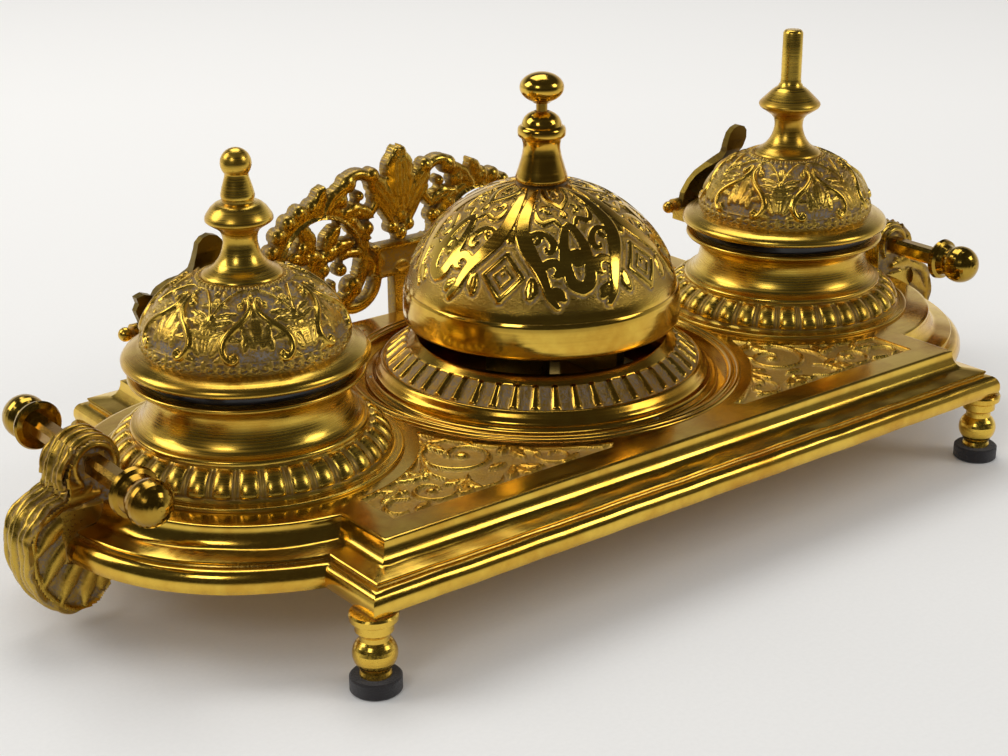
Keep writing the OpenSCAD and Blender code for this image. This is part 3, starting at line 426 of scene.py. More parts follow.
class Shader:
    """Adds nodes to a new material or world in a few words."""

    def __init__(self, name, kind="Material"):
        self.owner = getattr(bpy.data, kind.lower() + "s").new(name)
        self.owner.use_nodes = True
        self.tree = self.owner.node_tree
        self.tree.nodes.clear()
        self.out = self.tree.nodes.new("ShaderNodeOutput" + kind)

    def done(self, shader):
        self.feed(self.out.inputs[0], shader)
        return self.owner

    def point(self, space="Object"):
        return self.node("TexCoord").outputs[space]

    def node(self, kind, settings=None, **inputs):
        made = self.tree.nodes.new("ShaderNode" + kind)
        for key, value in (settings or {}).items():
            setattr(made, key, value)
        for key, value in inputs.items():
            self.feed(made.inputs[key.replace("_", " ")], value)
        return made

    def feed(self, socket, value):
        if isinstance(value, bpy.types.NodeSocket):
            self.tree.links.new(value, socket)
        elif isinstance(value, bpy.types.Node):
            self.tree.links.new(value.outputs[0], socket)
        else:
            socket.default_value = value

    def math(self, operation, a, b, clamp=False):
        made = self.node("Math", {"operation": operation, "use_clamp": clamp})
        self.feed(made.inputs[0], a)
        self.feed(made.inputs[1], b)
        return made.outputs[0]

    def times(self, a, b, clamp=False):
        return self.math("MULTIPLY", a, b, clamp)

    def plus(self, a, b, clamp=False):
        return self.math("ADD", a, b, clamp)

    def length(self, vector):
        return self.node("VectorMath", {"operation": "LENGTH"}, Vector=vector).outputs[1]

    def dot(self, vector, way):
        made = self.node("VectorMath", {"operation": "DOT_PRODUCT"})
        self.feed(made.inputs[0], vector)
        made.inputs[1].default_value = way
        return made.outputs["Value"]

    def mix(self, factor, a, b):
        made = self.node("Mix", {"data_type": "RGBA"})
        self.feed(made.inputs[0], factor)
        self.feed(made.inputs[6], a)
        self.feed(made.inputs[7], b)
        return made.outputs[2]

    def noise(self, vector, scale, detail=3.0, roughness=0.5):
        return self.node("TexNoise", Vector=vector, Scale=scale, Detail=detail,
                         Roughness=roughness).outputs[0]

    def ramp(self, value, low_in, high_in, low_out=0.0, high_out=1.0):
        return self.node("MapRange", Value=value, From_Min=low_in, From_Max=high_in,
                         To_Min=low_out, To_Max=high_out).outputs[0]

    def attribute(self, name):
        return self.node("Attribute", {"attribute_name": name}).outputs["Fac"]

    def scaled(self, vector, sizes):
        return self.node("Mapping", Vector=vector, Scale=sizes).outputs[0]


def rgba(colour, gain=1.0):
    return (*[min(1.0, c * gain) for c in colour], 1.0)


TOOL_LINES, FILE_MARKS, CAST_GRAIN = 2600.0, 3200.0, 1400.0
PATCHES, BLOTCHES, SPECKS, CRUST = 42.0, 210.0, 1900.0, 520.0
HOLLOW_REACH = 0.0016


def brass(name, axis=None, filed=False, roughness=0.22, scratch=0.5, grime=0.7, tone=0.5, ground=0.0,
          depth=1.0):
    """Polished brass, turned about a node's axis, filed or cast, with residue in its recesses."""
    s = Shader(name)
    point = s.point()
    if axis:
        centre = middle(axis)
        moved = s.node("Mapping", Vector=point, Location=(-centre[0] * MM, -centre[1] * MM, 0)).outputs[0]
        split = s.node("SeparateXYZ", Vector=moved)
        radius = s.length(s.node("CombineXYZ", X=split.outputs[0], Y=split.outputs[1]))
        rings = s.node("CombineXYZ", X=s.times(radius, TOOL_LINES), Y=s.times(s.noise(moved, 90.0, 1.0), 1.2),
                       Z=s.times(split.outputs[2], TOOL_LINES))
        streaks = s.noise(rings, 1.0, 2.0)
    elif filed:
        streaks = s.noise(s.scaled(point, (60.0, FILE_MARKS, FILE_MARKS)), 1.0, 2.0)
    else:
        streaks = s.noise(point, CAST_GRAIN, 3.0, 0.6)
    patches = s.noise(point, PATCHES, 4.0, 0.6)
    blotch = s.noise(point, BLOTCHES, 4.0, 0.65)
    hue = s.ramp(s.plus(s.times(patches, 0.7), s.times(blotch, 0.3)), 0.38 + 0.12 * tone, 0.62 + 0.12 * tone)
    polished = s.mix(hue, rgba(finish().gold, depth), rgba(finish().warm, depth))
    metal = s.mix(s.times(s.attribute("sunk"), 0.65), polished, rgba(finish().toned))
    corner = s.node("AmbientOcclusion", {"samples": 6}, Distance=HOLLOW_REACH).outputs["AO"]
    hollow = s.times(s.ramp(corner, 0.8, 0.3), s.ramp(blotch, 0.35, 0.6), True)
    speckle = s.ramp(s.noise(point, SPECKS, 2.0), 0.42, 0.56, 0.15, 1.0)
    worn = s.times(s.attribute("residue"), s.ramp(s.noise(point, CRUST, 3.0), 0.25, 0.55), True)
    dirt = s.times(s.math("MAXIMUM", s.times(worn, speckle), s.times(hollow, 0.55)), grime, True)
    colour = s.mix(dirt, metal, rgba(finish().residue))
    gloss = s.plus(s.ramp(streaks, 0.3, 0.7, roughness * (1 - scratch), roughness * (1 + scratch)),
                   s.times(s.ramp(patches, 0.45, 0.75), 0.10))
    rough = s.plus(s.plus(gloss, s.times(s.attribute("sunk"), 0.16)), s.times(dirt, 0.45), True)
    fine = s.node("Bump", Strength=0.22 * scratch, Distance=0.00005, Height=streaks)
    pits = s.node("Bump", Strength=0.16, Distance=0.0005, Height=patches, Normal=fine)
    if ground:
        grain = s.times(s.noise(point, SPECKS, 2.0, 0.7), s.attribute("sunk"))
        pits = s.node("Bump", Strength=ground, Distance=0.0003, Height=grain, Normal=pits)
    return s.done(s.node("BsdfPrincipled", Base_Color=colour, Roughness=rough, Normal=pits,
                         Metallic=s.ramp(dirt, 0.0, 1.0, 1.0, 0.25)))


def felt(name):
    s = Shader(name)
    fibre = s.noise(s.point(), 2600.0, 4.0, 0.7)
    colour = s.mix(s.ramp(fibre, 0.3, 0.75), rgba(finish().felt), rgba(finish().felt, 2.0))
    bump = s.node("Bump", Strength=0.8, Distance=0.0004, Height=fibre)
    return s.done(s.node("BsdfPrincipled", Base_Color=colour, Roughness=0.95, Normal=bump,
                         Sheen_Weight=0.25))


def steel(name):
    s = Shader(name)
    grain = s.noise(s.scaled(s.point(), (1500.0, 1500.0, 300.0)), 1.0, 3.0)
    colour = s.mix(s.ramp(grain, 0.3, 0.7), rgba(finish().steel), rgba(finish().steel, 0.7))
    bump = s.node("Bump", Strength=0.2, Distance=0.0001, Height=grain)
    return s.done(s.node("BsdfPrincipled", Base_Color=colour, Metallic=1.0, Normal=bump,
                         Roughness=s.ramp(grain, 0.2, 0.8, 0.25, 0.45)))


def dark_glass(name):
    s = Shader(name)
    ripple = s.noise(s.point(), 130.0, 3.0)
    colour = s.mix(ripple, (0.006, 0.006, 0.007, 1), (0.018, 0.017, 0.02, 1))
    bump = s.node("Bump", Strength=0.15, Distance=0.0006, Height=ripple)
    return s.done(s.node("BsdfPrincipled", Base_Color=colour, Normal=bump,
                         Roughness=s.ramp(ripple, 0.3, 0.7, 0.12, 0.3)))


BRASSES = {
    "plate": dict(filed=True, roughness=0.15, scratch=0.3, grime=0.35, tone=0.3),
    "panel": dict(roughness=0.26, grime=0.28, tone=0.1, ground=0.8),
    "ring": dict(axis="bell", roughness=0.15, scratch=0.25, grime=0.9, tone=-0.2, ground=0.9),
    "foot": dict(scratch=0.4),
    "handle": dict(roughness=0.15, scratch=0.4, tone=-0.2, depth=0.62),
    "gallery": dict(scratch=0.3, grime=0.8, tone=0.6, ground=0.5, depth=0.85),
    "bracket": dict(roughness=0.27, scratch=0.3, grime=0.85, ground=0.4, depth=0.7),
    "dark": dict(roughness=0.36, scratch=0.4, grime=0.85, tone=2.0, depth=0.28),
    "left_turned": dict(axis="left_lid", roughness=0.25, scratch=0.35, depth=0.94),
    "right_turned": dict(axis="right_lid", roughness=0.27, scratch=0.35, depth=0.94),
    "left_relief": dict(axis="left_lid", scratch=0.2, grime=0.95, ground=0.5, depth=0.92),
    "right_relief": dict(axis="right_lid", roughness=0.24, scratch=0.2, grime=0.95, ground=0.5, depth=0.92),
    "bell_turned": dict(axis="bell", roughness=0.12, tone=0.3),
    "bell_relief": dict(axis="bell", roughness=0.13, scratch=0.4, grime=0.95, tone=0.4, ground=0.6),
}
OTHERS = {"felt": felt, "steel": steel, "dark_glass": dark_glass}
FINISHES = {}


def material(name):
    """The finishes by name, each made once."""
    if name not in FINISHES:
        FINISHES[name] = OTHERS[name](name) if name in OTHERS else brass(f"{name}_brass", **BRASSES[name])
    return FINISHES[name]


# ---- the stage ----------------------------------------------------------------------------------


FLOOR_R = 6.0
LIGHT_AIM = Vector((0, 0, 0.04))
# name, place, size in metres, share of the key light's power, colour
LIGHTS = (("left_back", (-0.95, 0.85, 0.95), 0.75, 1.0, (1, 0.98, 0.95)),
          ("right_front", (0.85, -0.95, 0.85), 0.5, 0.5, (1, 0.97, 0.93)),
          ("left_front", (-0.95, -0.45, 0.8), 0.3, 0.22, (1, 0.98, 0.95)),
          ("top", (0.25, 0.55, 1.25), 0.8, 0.9, (1, 0.99, 0.97)))


class INKSTAND_OT_stage(bpy.types.Operator):
    """Sets the camera, the pale floor and the soft studio light"""

    bl_idname = "inkstand.stage"
    bl_label = "Stage"

    def execute(self, context):
        scene = context.scene
        scene.view_settings.view_transform = "Standard"
        self.camera(scene)
        self.floor(scene)
        self.world(scene)
        self.lights(scene)
        return {"FINISHED"}

    def camera(self, scene):
        s = stage_settings()
        cosp = math.cos(s.pitch)
        ahead = Vector((math.sin(s.yaw) * cosp, math.cos(s.yaw) * cosp, math.sin(s.pitch)))
        right = Vector((math.cos(s.yaw), -math.sin(s.yaw), 0))
        up = right.cross(ahead)
        right, up = (right * math.cos(s.roll) + up * math.sin(s.roll),
                     up * math.cos(s.roll) - right * math.sin(s.roll))
        data = bpy.data.cameras.new("camera")
        data.lens = s.lens
        data.sensor_fit = "HORIZONTAL"
        data.sensor_width = 36
        data.clip_start = 0.01
        camera = bpy.data.objects.new("camera", data)
        turned = Matrix((right, up, -ahead)).transposed().to_4x4()
        camera.matrix_world = Matrix.Translation(s.camera_at) @ turned
        scene.collection.objects.link(camera)
        scene.camera = camera

    def floor(self, scene):
        bm = bmesh.new()
        bmesh.ops.create_circle(bm, cap_ends=True, radius=FLOOR_R, segments=96)
        mesh = bpy.data.meshes.new("floor")
        bm.to_mesh(mesh)
        bm.free()
        floor = bpy.data.objects.new("floor", mesh)
        scene.collection.objects.link(floor)
        s = Shader("floor")
        point = s.point()
        tone = stage_settings().floor_tone
        pale = s.mix(s.ramp(s.noise(point, 900.0, 3.0), 0.3, 0.7), rgba(tone, 0.985), rgba(tone, 1.01))
        # Painted light: the floor turns brighter toward the back, fading into the backdrop's colour.
        ahead = s.dot(point, BACKDROP_WAY)
        pale = s.mix(s.ramp(ahead, -0.1, 0.45), pale, rgba(stage_settings().backdrop_tone))
        # Painted dark reflection: glossy rays see the floor away from the object and toward the front at 12
        # percent of its tone, so the metal reflects darkness there while the camera sees a pale floor.
        edge = s.times(s.ramp(s.length(point), 0.18, 0.55), s.ramp(ahead, 0.1, -0.25), True)
        mirrored = s.times(edge, s.node("LightPath").outputs["Is Glossy Ray"])
        colour = s.mix(mirrored, pale, rgba(tone, 0.12))
        mesh.materials.append(s.done(s.node("BsdfPrincipled", Base_Color=colour, Roughness=0.8)))

    def world(self, scene):
        """White where the camera looks, pale at the horizon for reflections, and dimmer overhead."""
        s = Shader("studio", "World")
        direction = s.point("Generated")
        height = s.node("SeparateXYZ", Vector=direction).outputs[2]
        tone = rgba(stage_settings().backdrop_tone)
        sky = stage_settings().sky_tone
        behind = s.ramp(s.dot(direction, BACKDROP_WAY), -0.25, 0.75)
        lit = s.times(s.ramp(height, 0.58, 0.10), behind, True)
        room = s.mix(lit, (sky, sky * 0.93, sky * 0.86, 1), tone)
        path = s.node("LightPath")
        soft = s.mix(path.outputs["Is Camera Ray"], (0.50, 0.50, 0.50, 1), tone)
        seen = s.mix(path.outputs["Is Glossy Ray"], soft, room)
        scene.world = s.done(s.node("Background", Color=seen, Strength=1.0))

    def lights(self, scene):
        power = stage_settings().key_power
        for name, at, size, share, colour in LIGHTS:
            data = bpy.data.lights.new(name, "AREA")
            data.size = size
            data.shape = "SQUARE"
            data.energy = power * share
            data.color = colour
            light = bpy.data.objects.new(name, data)
            light.location = at
            light.rotation_mode = "QUATERNION"
            light.rotation_quaternion = (LIGHT_AIM - Vector(at)).to_track_quat("-Z", "Y")
            scene.collection.objects.link(light)


# ---- the plate ----------------------------------------------------------------------------------

HALF_LEN, HALF_DEP, LOBE_X, LOBE_R = 103.4, 70.8, 87.4, 54.4
PLATE_H, CEILING, FILED_H = 12.3, 6.8, 7.5
GROOVE_H, TOP_EDGE_H, FOOT_H = 5.75, 10.7, 0.2
FRONT_STEPS, SIDE_STEPS, LOBE_STEPS = 103, 9, 55
BELL_Y = middle("bell")[1]
WELL_X = middle("right_lid")[0]
SEAT_R, SEAT_DEPTH, BEAD_R, BEAD_SINK = 49.5, 2.6, 0.75, 0.22
PANEL_BELL_R, PANEL_WELL_R, PANEL_DEPTH = 56.0, 40.0, 1.6
PANEL_FRONT, PANEL_END, PANEL_TIP = 53.5, 86.0, 20.0
PANEL_PITCH, PANEL_MARGIN, PANEL_SKIN = 0.33, 0.6, 0.03


def plate_outline(inset):
    """The plate's outline set in by a distance: the right end and the back, then both turned half round."""
    a, b, r = HALF_LEN - inset, HALF_DEP - inset, LOBE_R - inset
    notch = math.sqrt(r * r - (a - LOBE_X) ** 2)
    arc_end = math.atan2(notch, a - LOBE_X)
    arc = np.linspace(-arc_end, arc_end, LOBE_STEPS + 1)
    right = np.vstack([
        np.stack([np.full(SIDE_STEPS, a), np.linspace(-b, -notch, SIDE_STEPS, endpoint=False)], 1),
        np.stack([LOBE_X + r * np.cos(arc), r * np.sin(arc)], 1),
        np.stack([np.full(SIDE_STEPS, a), np.linspace(notch, b, SIDE_STEPS + 1)[1:]], 1)])
    back = np.stack([np.linspace(a, -a, FRONT_STEPS + 1)[1:-1], np.full(FRONT_STEPS - 1, b)], 1)
    return np.vstack([right, back, -right, -back])


def closed_loop(bm, outline, z):
    """The vertices and edges of an outline laid flat at a height."""
    verts = [bm.verts.new((x, y, z)) for x, y in outline]
    return verts, [bm.edges.new((v, verts[(i + 1) % len(verts)])) for i, v in enumerate(verts)]


def swept(outlines, heights):
    """A bmesh whose rim climbs from outline to outline, extruded edge loop by edge loop."""
    bm = bmesh.new()
    loop, edges = closed_loop(bm, outlines[0], heights[0])
    for outline, height in zip(outlines[1:], heights[1:]):
        edges = extruded(bm, edges)[1]
        fresh = {v for e in edges for v in e.verts}
        loop = [next(e.other_vert(v) for e in v.link_edges if e.other_vert(v) in fresh) for v in loop]
        for v, (x, y) in zip(loop, outline):
            v.co = (x, y, height)
    return bm, edges


class INKSTAND_OT_plate(bpy.types.Operator):
    """Models the plate: its edge moulding, flat top, bell seat and sunk panels"""

    bl_idname = "inkstand.plate"
    bl_label = "Plate"

    def profile(self):
        """The edge moulding as insets and heights over the underside, from the bottom up."""
        band = ellipse((2.4, 2.1), 2.4, 3.3, 180, 90, 0.35)
        cove = np.array([[6.9 + 2.8 * math.sin(t), PLATE_H - 4.9 * math.cos(t)]
                         for t in np.linspace(0, math.pi / 2, 9)])
        return joined([[11.5, 0.0], [0.8, 0.0], [0.3, 0.3], [0.0, 1.5]], band,
                      [[2.7, 5.42], [3.2, 5.5], [3.35, 5.75], [3.1, 6.05], [2.95, 6.3], [2.9, 6.55],
                       [3.1, 6.75], [3.6, 6.85], [5.2, 7.12]], cove[:-1],
                      [[9.62, 11.9], [9.75, 12.15], [10.05, 12.28], [10.6, PLATE_H]])

    def execute(self, context):
        z0 = low("base_plate")
        rings = self.profile()
        bm, edges = swept([plate_outline(inset) for inset, _ in rings], [z0 + h for _, h in rings])
        self.waver(bm, z0 + FILED_H)
        self.hollow(bm, z0)
        self.top(bm, edges, z0 + PLATE_H)
        piece = new_piece("plate", bm, "stand", "plate", ["base_plate"], sharp=32)
        store(piece.data, "residue", self.groove_residue(coordinates(piece.data)[:, 2] / MM - z0))
        self.beads(z0 + PLATE_H)
        return {"FINISHED"}

    def beads(self, z):
        """The two fine round rings that frame the bell's seat."""
        for number, r in (("inner", SEAT_R + 1.2), ("outer", SEAT_R + 3.0)):
            tube = [(r + BEAD_R * math.cos(a), z - BEAD_SINK + BEAD_R * math.sin(a))
                    for a in np.radians(range(0, 360, 24))]
            bm = spun(tube + tube[:1], (0, BELL_Y, 0), 200)
            new_piece(f"seat_{number}_bead", bm, "stand", "ring", sharp=80)

    def hollow(self, bm, z0):
        """The plain hollow underside, from the inner edge of the rim up to its ceiling."""
        rim = [e for e in bm.edges if e.is_boundary and all(v.co.z < z0 + 0.2 for v in e.verts)]
        verts, ceiling = extruded(bm, rim)
        for v in verts:
            v.co.z = z0 + CEILING
        bmesh.ops.triangle_fill(bm, edges=ceiling, use_beauty=True, normal=(0, 0, -1))

    def waver(self, bm, ceiling):
        """The slight unevenness of hand filing along the moulding."""
        for v in bm.verts:
            x, y = v.co.x, v.co.y
            swing = (math.sin(x * 0.21 + 1.3) + 0.7 * math.sin(x * 0.47 + y * 0.31)
                     + 0.5 * math.sin(y * 0.55 + 2))
            v.co.z += 0.05 * swing * (v.co.z < ceiling)

    def top(self, bm, edges, z):
        """Fills the flat top round the seat and the panels, and sinks their walls."""
        seat = [(SEAT_R * math.cos(a), BELL_Y + SEAT_R * math.sin(a))
                for a in np.linspace(0, math.tau, 180, endpoint=False)]
        panels = [panel_shape(sx, sy) for sx in (-1, 1) for sy in (-1, 1)]
        loops = [closed_loop(bm, outline, z)[1] for outline in [seat] + panels]
        bmesh.ops.triangle_fill(bm, edges=edges + [e for l in loops for e in l], use_beauty=True,
                                normal=(0, 0, 1))
        for loop, depth in zip(loops, [SEAT_DEPTH] + [PANEL_DEPTH] * 4):
            verts, rim = extruded(bm, loop)
            bmesh.ops.translate(bm, vec=(0, 0, -depth), verts=verts)
            bmesh.ops.triangle_fill(bm, edges=rim, use_beauty=True, normal=(0, 0, 1))
        bmesh.ops.recalc_face_normals(bm, faces=bm.faces)

    def groove_residue(self, h):
        """Residue along the moulding's groove, its foot and the edge of the top, by height."""
        return np.clip(0.6 * np.exp(-((h - GROOVE_H) / 0.35) ** 2) + 0.5 * np.exp(-((h - FOOT_H) / 0.5) ** 2)
                       + 0.35 * (np.abs(h - TOP_EDGE_H) < 0.05), 0, 1)


def panel_shape(sx, sy):
    """One panel's outline, in millimetres: sx and sy say which quarter of the plate it is in."""
    xs = np.linspace(PANEL_TIP, PANEL_END, 100)
    bell = np.sqrt(np.maximum(0, PANEL_BELL_R ** 2 - xs ** 2)) + sy * BELL_Y
    well = np.sqrt(np.maximum(0, PANEL_WELL_R ** 2 - (xs - WELL_X) ** 2))
    inner = np.maximum(bell, well)
    keep = inner < PANEL_FRONT - 0.3
    outline = np.vstack([np.stack([xs[keep], inner[keep]], 1),
                         np.stack([xs[::-4], np.full(len(xs[::-4]), PANEL_FRONT)], 1)])
    return outline * np.array([sx, sy])


def panel_ornament():
    """Scrolls and leaves of a panel, drawn for the quarter where both coordinates are positive."""
    o = Ornament()
    for centre, r0, r1, start, end, width, height, taper in (
            ((52.5, 33.5), 11.5, 3.2, -150, 330, 1.5, 0.8, (0.4, 0.8)),
            ((35, 47.5), 5.0, 1.8, -60, 290, 1.1, 0.8, (0.4, 0.8)),
            ((70, 45.5), 6.6, 2.2, 200, -180, 1.3, 0.85, (0.5, 0.8))):
        o.add(spiral(centre, r0, r1, start, end), width, height, taper)
    for width, height, taper, points in (
            (1.3, 0.75, (0.9, 0.4), [(43.5, 28.5), (38, 35), (33, 43), (27, 48.5), (23, 51)]),
            (1.2, 0.8, (0.6, 0.4), [(58, 43.5), (61, 47), (60, 51), (55, 51.5), (52, 49)]),
            (1.3, 0.8, (0.7, 0.4), [(63.6, 43), (64.5, 37), (61, 29), (56, 22.5)]),
            (1.2, 0.8, (0.7, 0.5), [(76.5, 46), (80, 44.5), (83.5, 46.5), (83.5, 50.5), (80.5, 51.5)])):
        o.add(smooth(points), width, height, taper)
    for foot, angle, length, width, bend in (
            ((45.5, 25.5), 100, 8, 3.2, 40), ((44.5, 26), 130, 7.5, 3, -20), ((46.5, 24.6), 60, 7, 3, 40),
            ((56, 22.5), 110, 7.5, 3, -30), ((56.5, 22), 75, 6, 2.6, -40), ((55, 22), 150, 6, 2.8, 20),
            ((60.5, 47), 20, 6.5, 3, 60), ((60.5, 47), 75, 5, 2.6, 30), ((60.5, 46), -20, 5.5, 2.8, 20),
            ((47, 47.5), 90, 5, 2.8, 10), ((46, 47), 130, 6, 2.8, 20), ((47.5, 47), 55, 5.5, 2.8, -20),
            ((40, 37.5), 60, 7, 3, 30), ((39, 38.5), 100, 6.5, 2.8, 0), ((40.6, 36), 20, 5, 2.6, 30),
            ((30, 50.3), 15, 7, 2.4, 10), ((29, 46.5), 230, 4, 2.2, 20), ((42, 51.2), 5, 6, 2.4, 0),
            ((76, 42), 10, 7, 3, 20), ((75.4, 41.6), -25, 5.5, 2.6, -10), ((74, 50.4), 10, 5, 2.4, 20),
            ((67, 38.6), -60, 5, 2.6, -20), ((67.3, 38.6), -15, 6.4, 2.8, 10),
            ((66, 38.6), -110, 4.6, 2.4, 0), ((52.6, 44.6), 200, 5, 2.6, -30),
            ((66.5, 51.2), 180, 4.5, 2.2, 10)):
        o.leaf(foot, angle, length, width, 1.0, bend)
    for at in ((44.8, 24.6), (56, 21.4), (60, 46.6), (47, 46.8), (39.6, 36.6), (75.3, 42.6), (66.9, 38.9)):
        o.berry(at, 1.1)
    o.berry((52.5, 33.5), 1.9)
    o.berry((70, 45.5), 1.4, 0.95)
    return o


class INKSTAND_OT_panels(bpy.types.Operator):
    """Casts the scrolls and leaves into the plate's four sunk panels"""

    bl_idname = "inkstand.panels"
    bl_label = "Panels"

    def execute(self, context):
        ornament = panel_ornament()
        z = high("base_plate") - PANEL_DEPTH
        for row, sy in (("front", -1), ("rear", 1)):
            for side, sx in SIDES:
                self.panel(f"{row}_{side}_panel", panel_shape(sx, sy), ornament, z)
        return {"FINISHED"}

    def panel(self, name, outline, ornament, z):
        piece = new_piece(name, cast_sheet(outline, PANEL_PITCH, PANEL_MARGIN), "stand",
                          "panel", sharp=180)
        co = coordinates(piece.data)
        points = np.abs(co[:, :2]) / MM
        height, inside = ornament.measure(points)
        wall = edge_distance(points, np.abs(outline))
        rise = height * relief().panel_depth / MM
        rise = np.maximum(rise, 0.9 * np.exp(-(wall / 0.5) ** 2) * (wall > 0))
        co[:, 2] = (z + PANEL_SKIN + rise) * MM
        piece.data.vertices.foreach_set("co", co.ravel())
        near = np.exp(-(np.clip(-inside, 0, 4) / 0.7) ** 2)
        ground = np.clip(1 - rise * 1.6, 0, 1)
        aged(piece.data, np.clip(0.55 + 0.45 * near, 0, 1) * ground, ground)
        piece.data.update()


def edge_distance(points, outline):
    """Distance from each point to a closed outline."""
    best = np.full(len(points), 1e9)
    for start, end in zip(outline, np.roll(outline, -1, axis=0)):
        run = end - start
        t = np.clip((points - start) @ run / max(run @ run, 1e-9), 0, 1)
        best = np.minimum(best, np.linalg.norm(points - start - t[:, None] * run, axis=1))
    return best


def within(points, outline):
    """Which points lie inside a closed outline."""
    x, y = points[:, 0], points[:, 1]
    odd = np.zeros(len(points), bool)
    for (x0, y0), (x1, y1) in zip(outline, np.roll(outline, -1, axis=0)):
        if y0 == y1:
            continue
        odd ^= ((y0 > y) != (y1 > y)) & (x < (x1 - x0) * (y - y0) / (y1 - y0) + x0)
    return odd


def flat_grid(segments, size, centre):
    """A flat grid of a size about a centre, and its points."""
    bm = bmesh.new()
    bmesh.ops.create_grid(bm, x_segments=segments[0], y_segments=segments[1], size=0.5)
    bmesh.ops.scale(bm, vec=(*size, 1), verts=bm.verts)
    bmesh.ops.translate(bm, vec=(*centre, 0), verts=bm.verts)
    return bm, np.array([v.co[:2] for v in bm.verts])


def cast_sheet(outline, pitch, margin):
    """A fine flat grid that covers an outline and a margin round it."""
    lo, hi = outline.min(0) - margin, outline.max(0) + margin
    bm, points = flat_grid([int(n) for n in np.ceil((hi - lo) / pitch)], hi - lo, (hi + lo) / 2)
    cut(bm, ~(within(points, outline) | (edge_distance(points, outline) < margin)))
    return bm


# ---- round castings -----------------------------------------------------------------------------


class Around:
    """Lays an ornament of repeated units round a turned surface, true to shape at every radius."""

    def __init__(self, profile, units, phase, start, end):
        """The ornament runs from one point of the profile to another, in units about the axis."""
        p = np.array(profile, float)
        ds = np.linalg.norm(np.diff(p, axis=0), axis=1)
        self.run = np.concatenate([[0], np.cumsum(ds)])
        mean_r = np.maximum((p[1:, 0] + p[:-1, 0]) / 2, 0.5)
        self.base_r = p[start][0]
        climb = np.concatenate([[0], np.cumsum(ds / mean_r)])
        self.climb = (climb - climb[start]) * self.base_r
        self.first, self.last = self.run[start], self.run[end]
        self.units, self.phase = units, phase

    def place(self, points):
        """Turns (degrees from the unit's axis, share of the way up) into the ornament's plane."""
        q = np.array(points, float)
        s = self.first + q[:, 1] * (self.last - self.first)
        return np.stack([np.radians(q[:, 0]) * self.base_r, np.interp(s, self.run, self.climb)], 1)

    def at(self, u, v):
        return tuple(self.place([(u, v)])[0])

    def fold(self, angle, along):
        """Where points on the surface fall in one unit of the ornament."""
        unit = math.tau / self.units
        turn = (angle - self.phase + unit / 2) % unit - unit / 2
        return np.stack([turn * self.base_r, np.interp(along, self.run, self.climb)], 1)


def rows(profile, pitch):
    """A profile with a point about every pitch millimetres along its straight or smooth runs."""
    return [tuple(p) for p in straight(profile, pitch)]


LID_PROFILE = [(27.7, 0.0), (28.9, 0.0), (29.25, 0.25), (29.3, 0.8), (29.1, 1.3), (28.8, 1.7), (28.3, 2.1),
               (27.3, 2.6), (26.2, 3.0), (25.2, 3.25)]
LID_R, LID_H, LID_DOME, LID_STEPS = 24.3, 17.5, 3.7, 540
LID_WALL = [(26.4, 0.0), (24.6, 1.6), (22.8, 3.9), (20.4, 9.0), (16.5, 14.0), (11.0, 17.3), (4.0, 18.3)]
LID_PHASE = {"left": -113, "right": -111}
FINIAL_H = 19.78


def lid_profile():
    """The lid's outer profile over the pot's flange: rim, dome and the flat under the finial."""
    top = math.asin((FINIAL_H - LID_DOME) / LID_H)
    dome = [(LID_R * math.cos(a), LID_DOME + LID_H * math.sin(a)) for a in np.linspace(0, top, 105)]
    rim = rows(LID_PROFILE, 0.45)
    return rim + dome + [(8.6, dome[-1][1] + 0.2), (5.0, dome[-1][1] + 0.2)], len(rim), len(rim) + 104


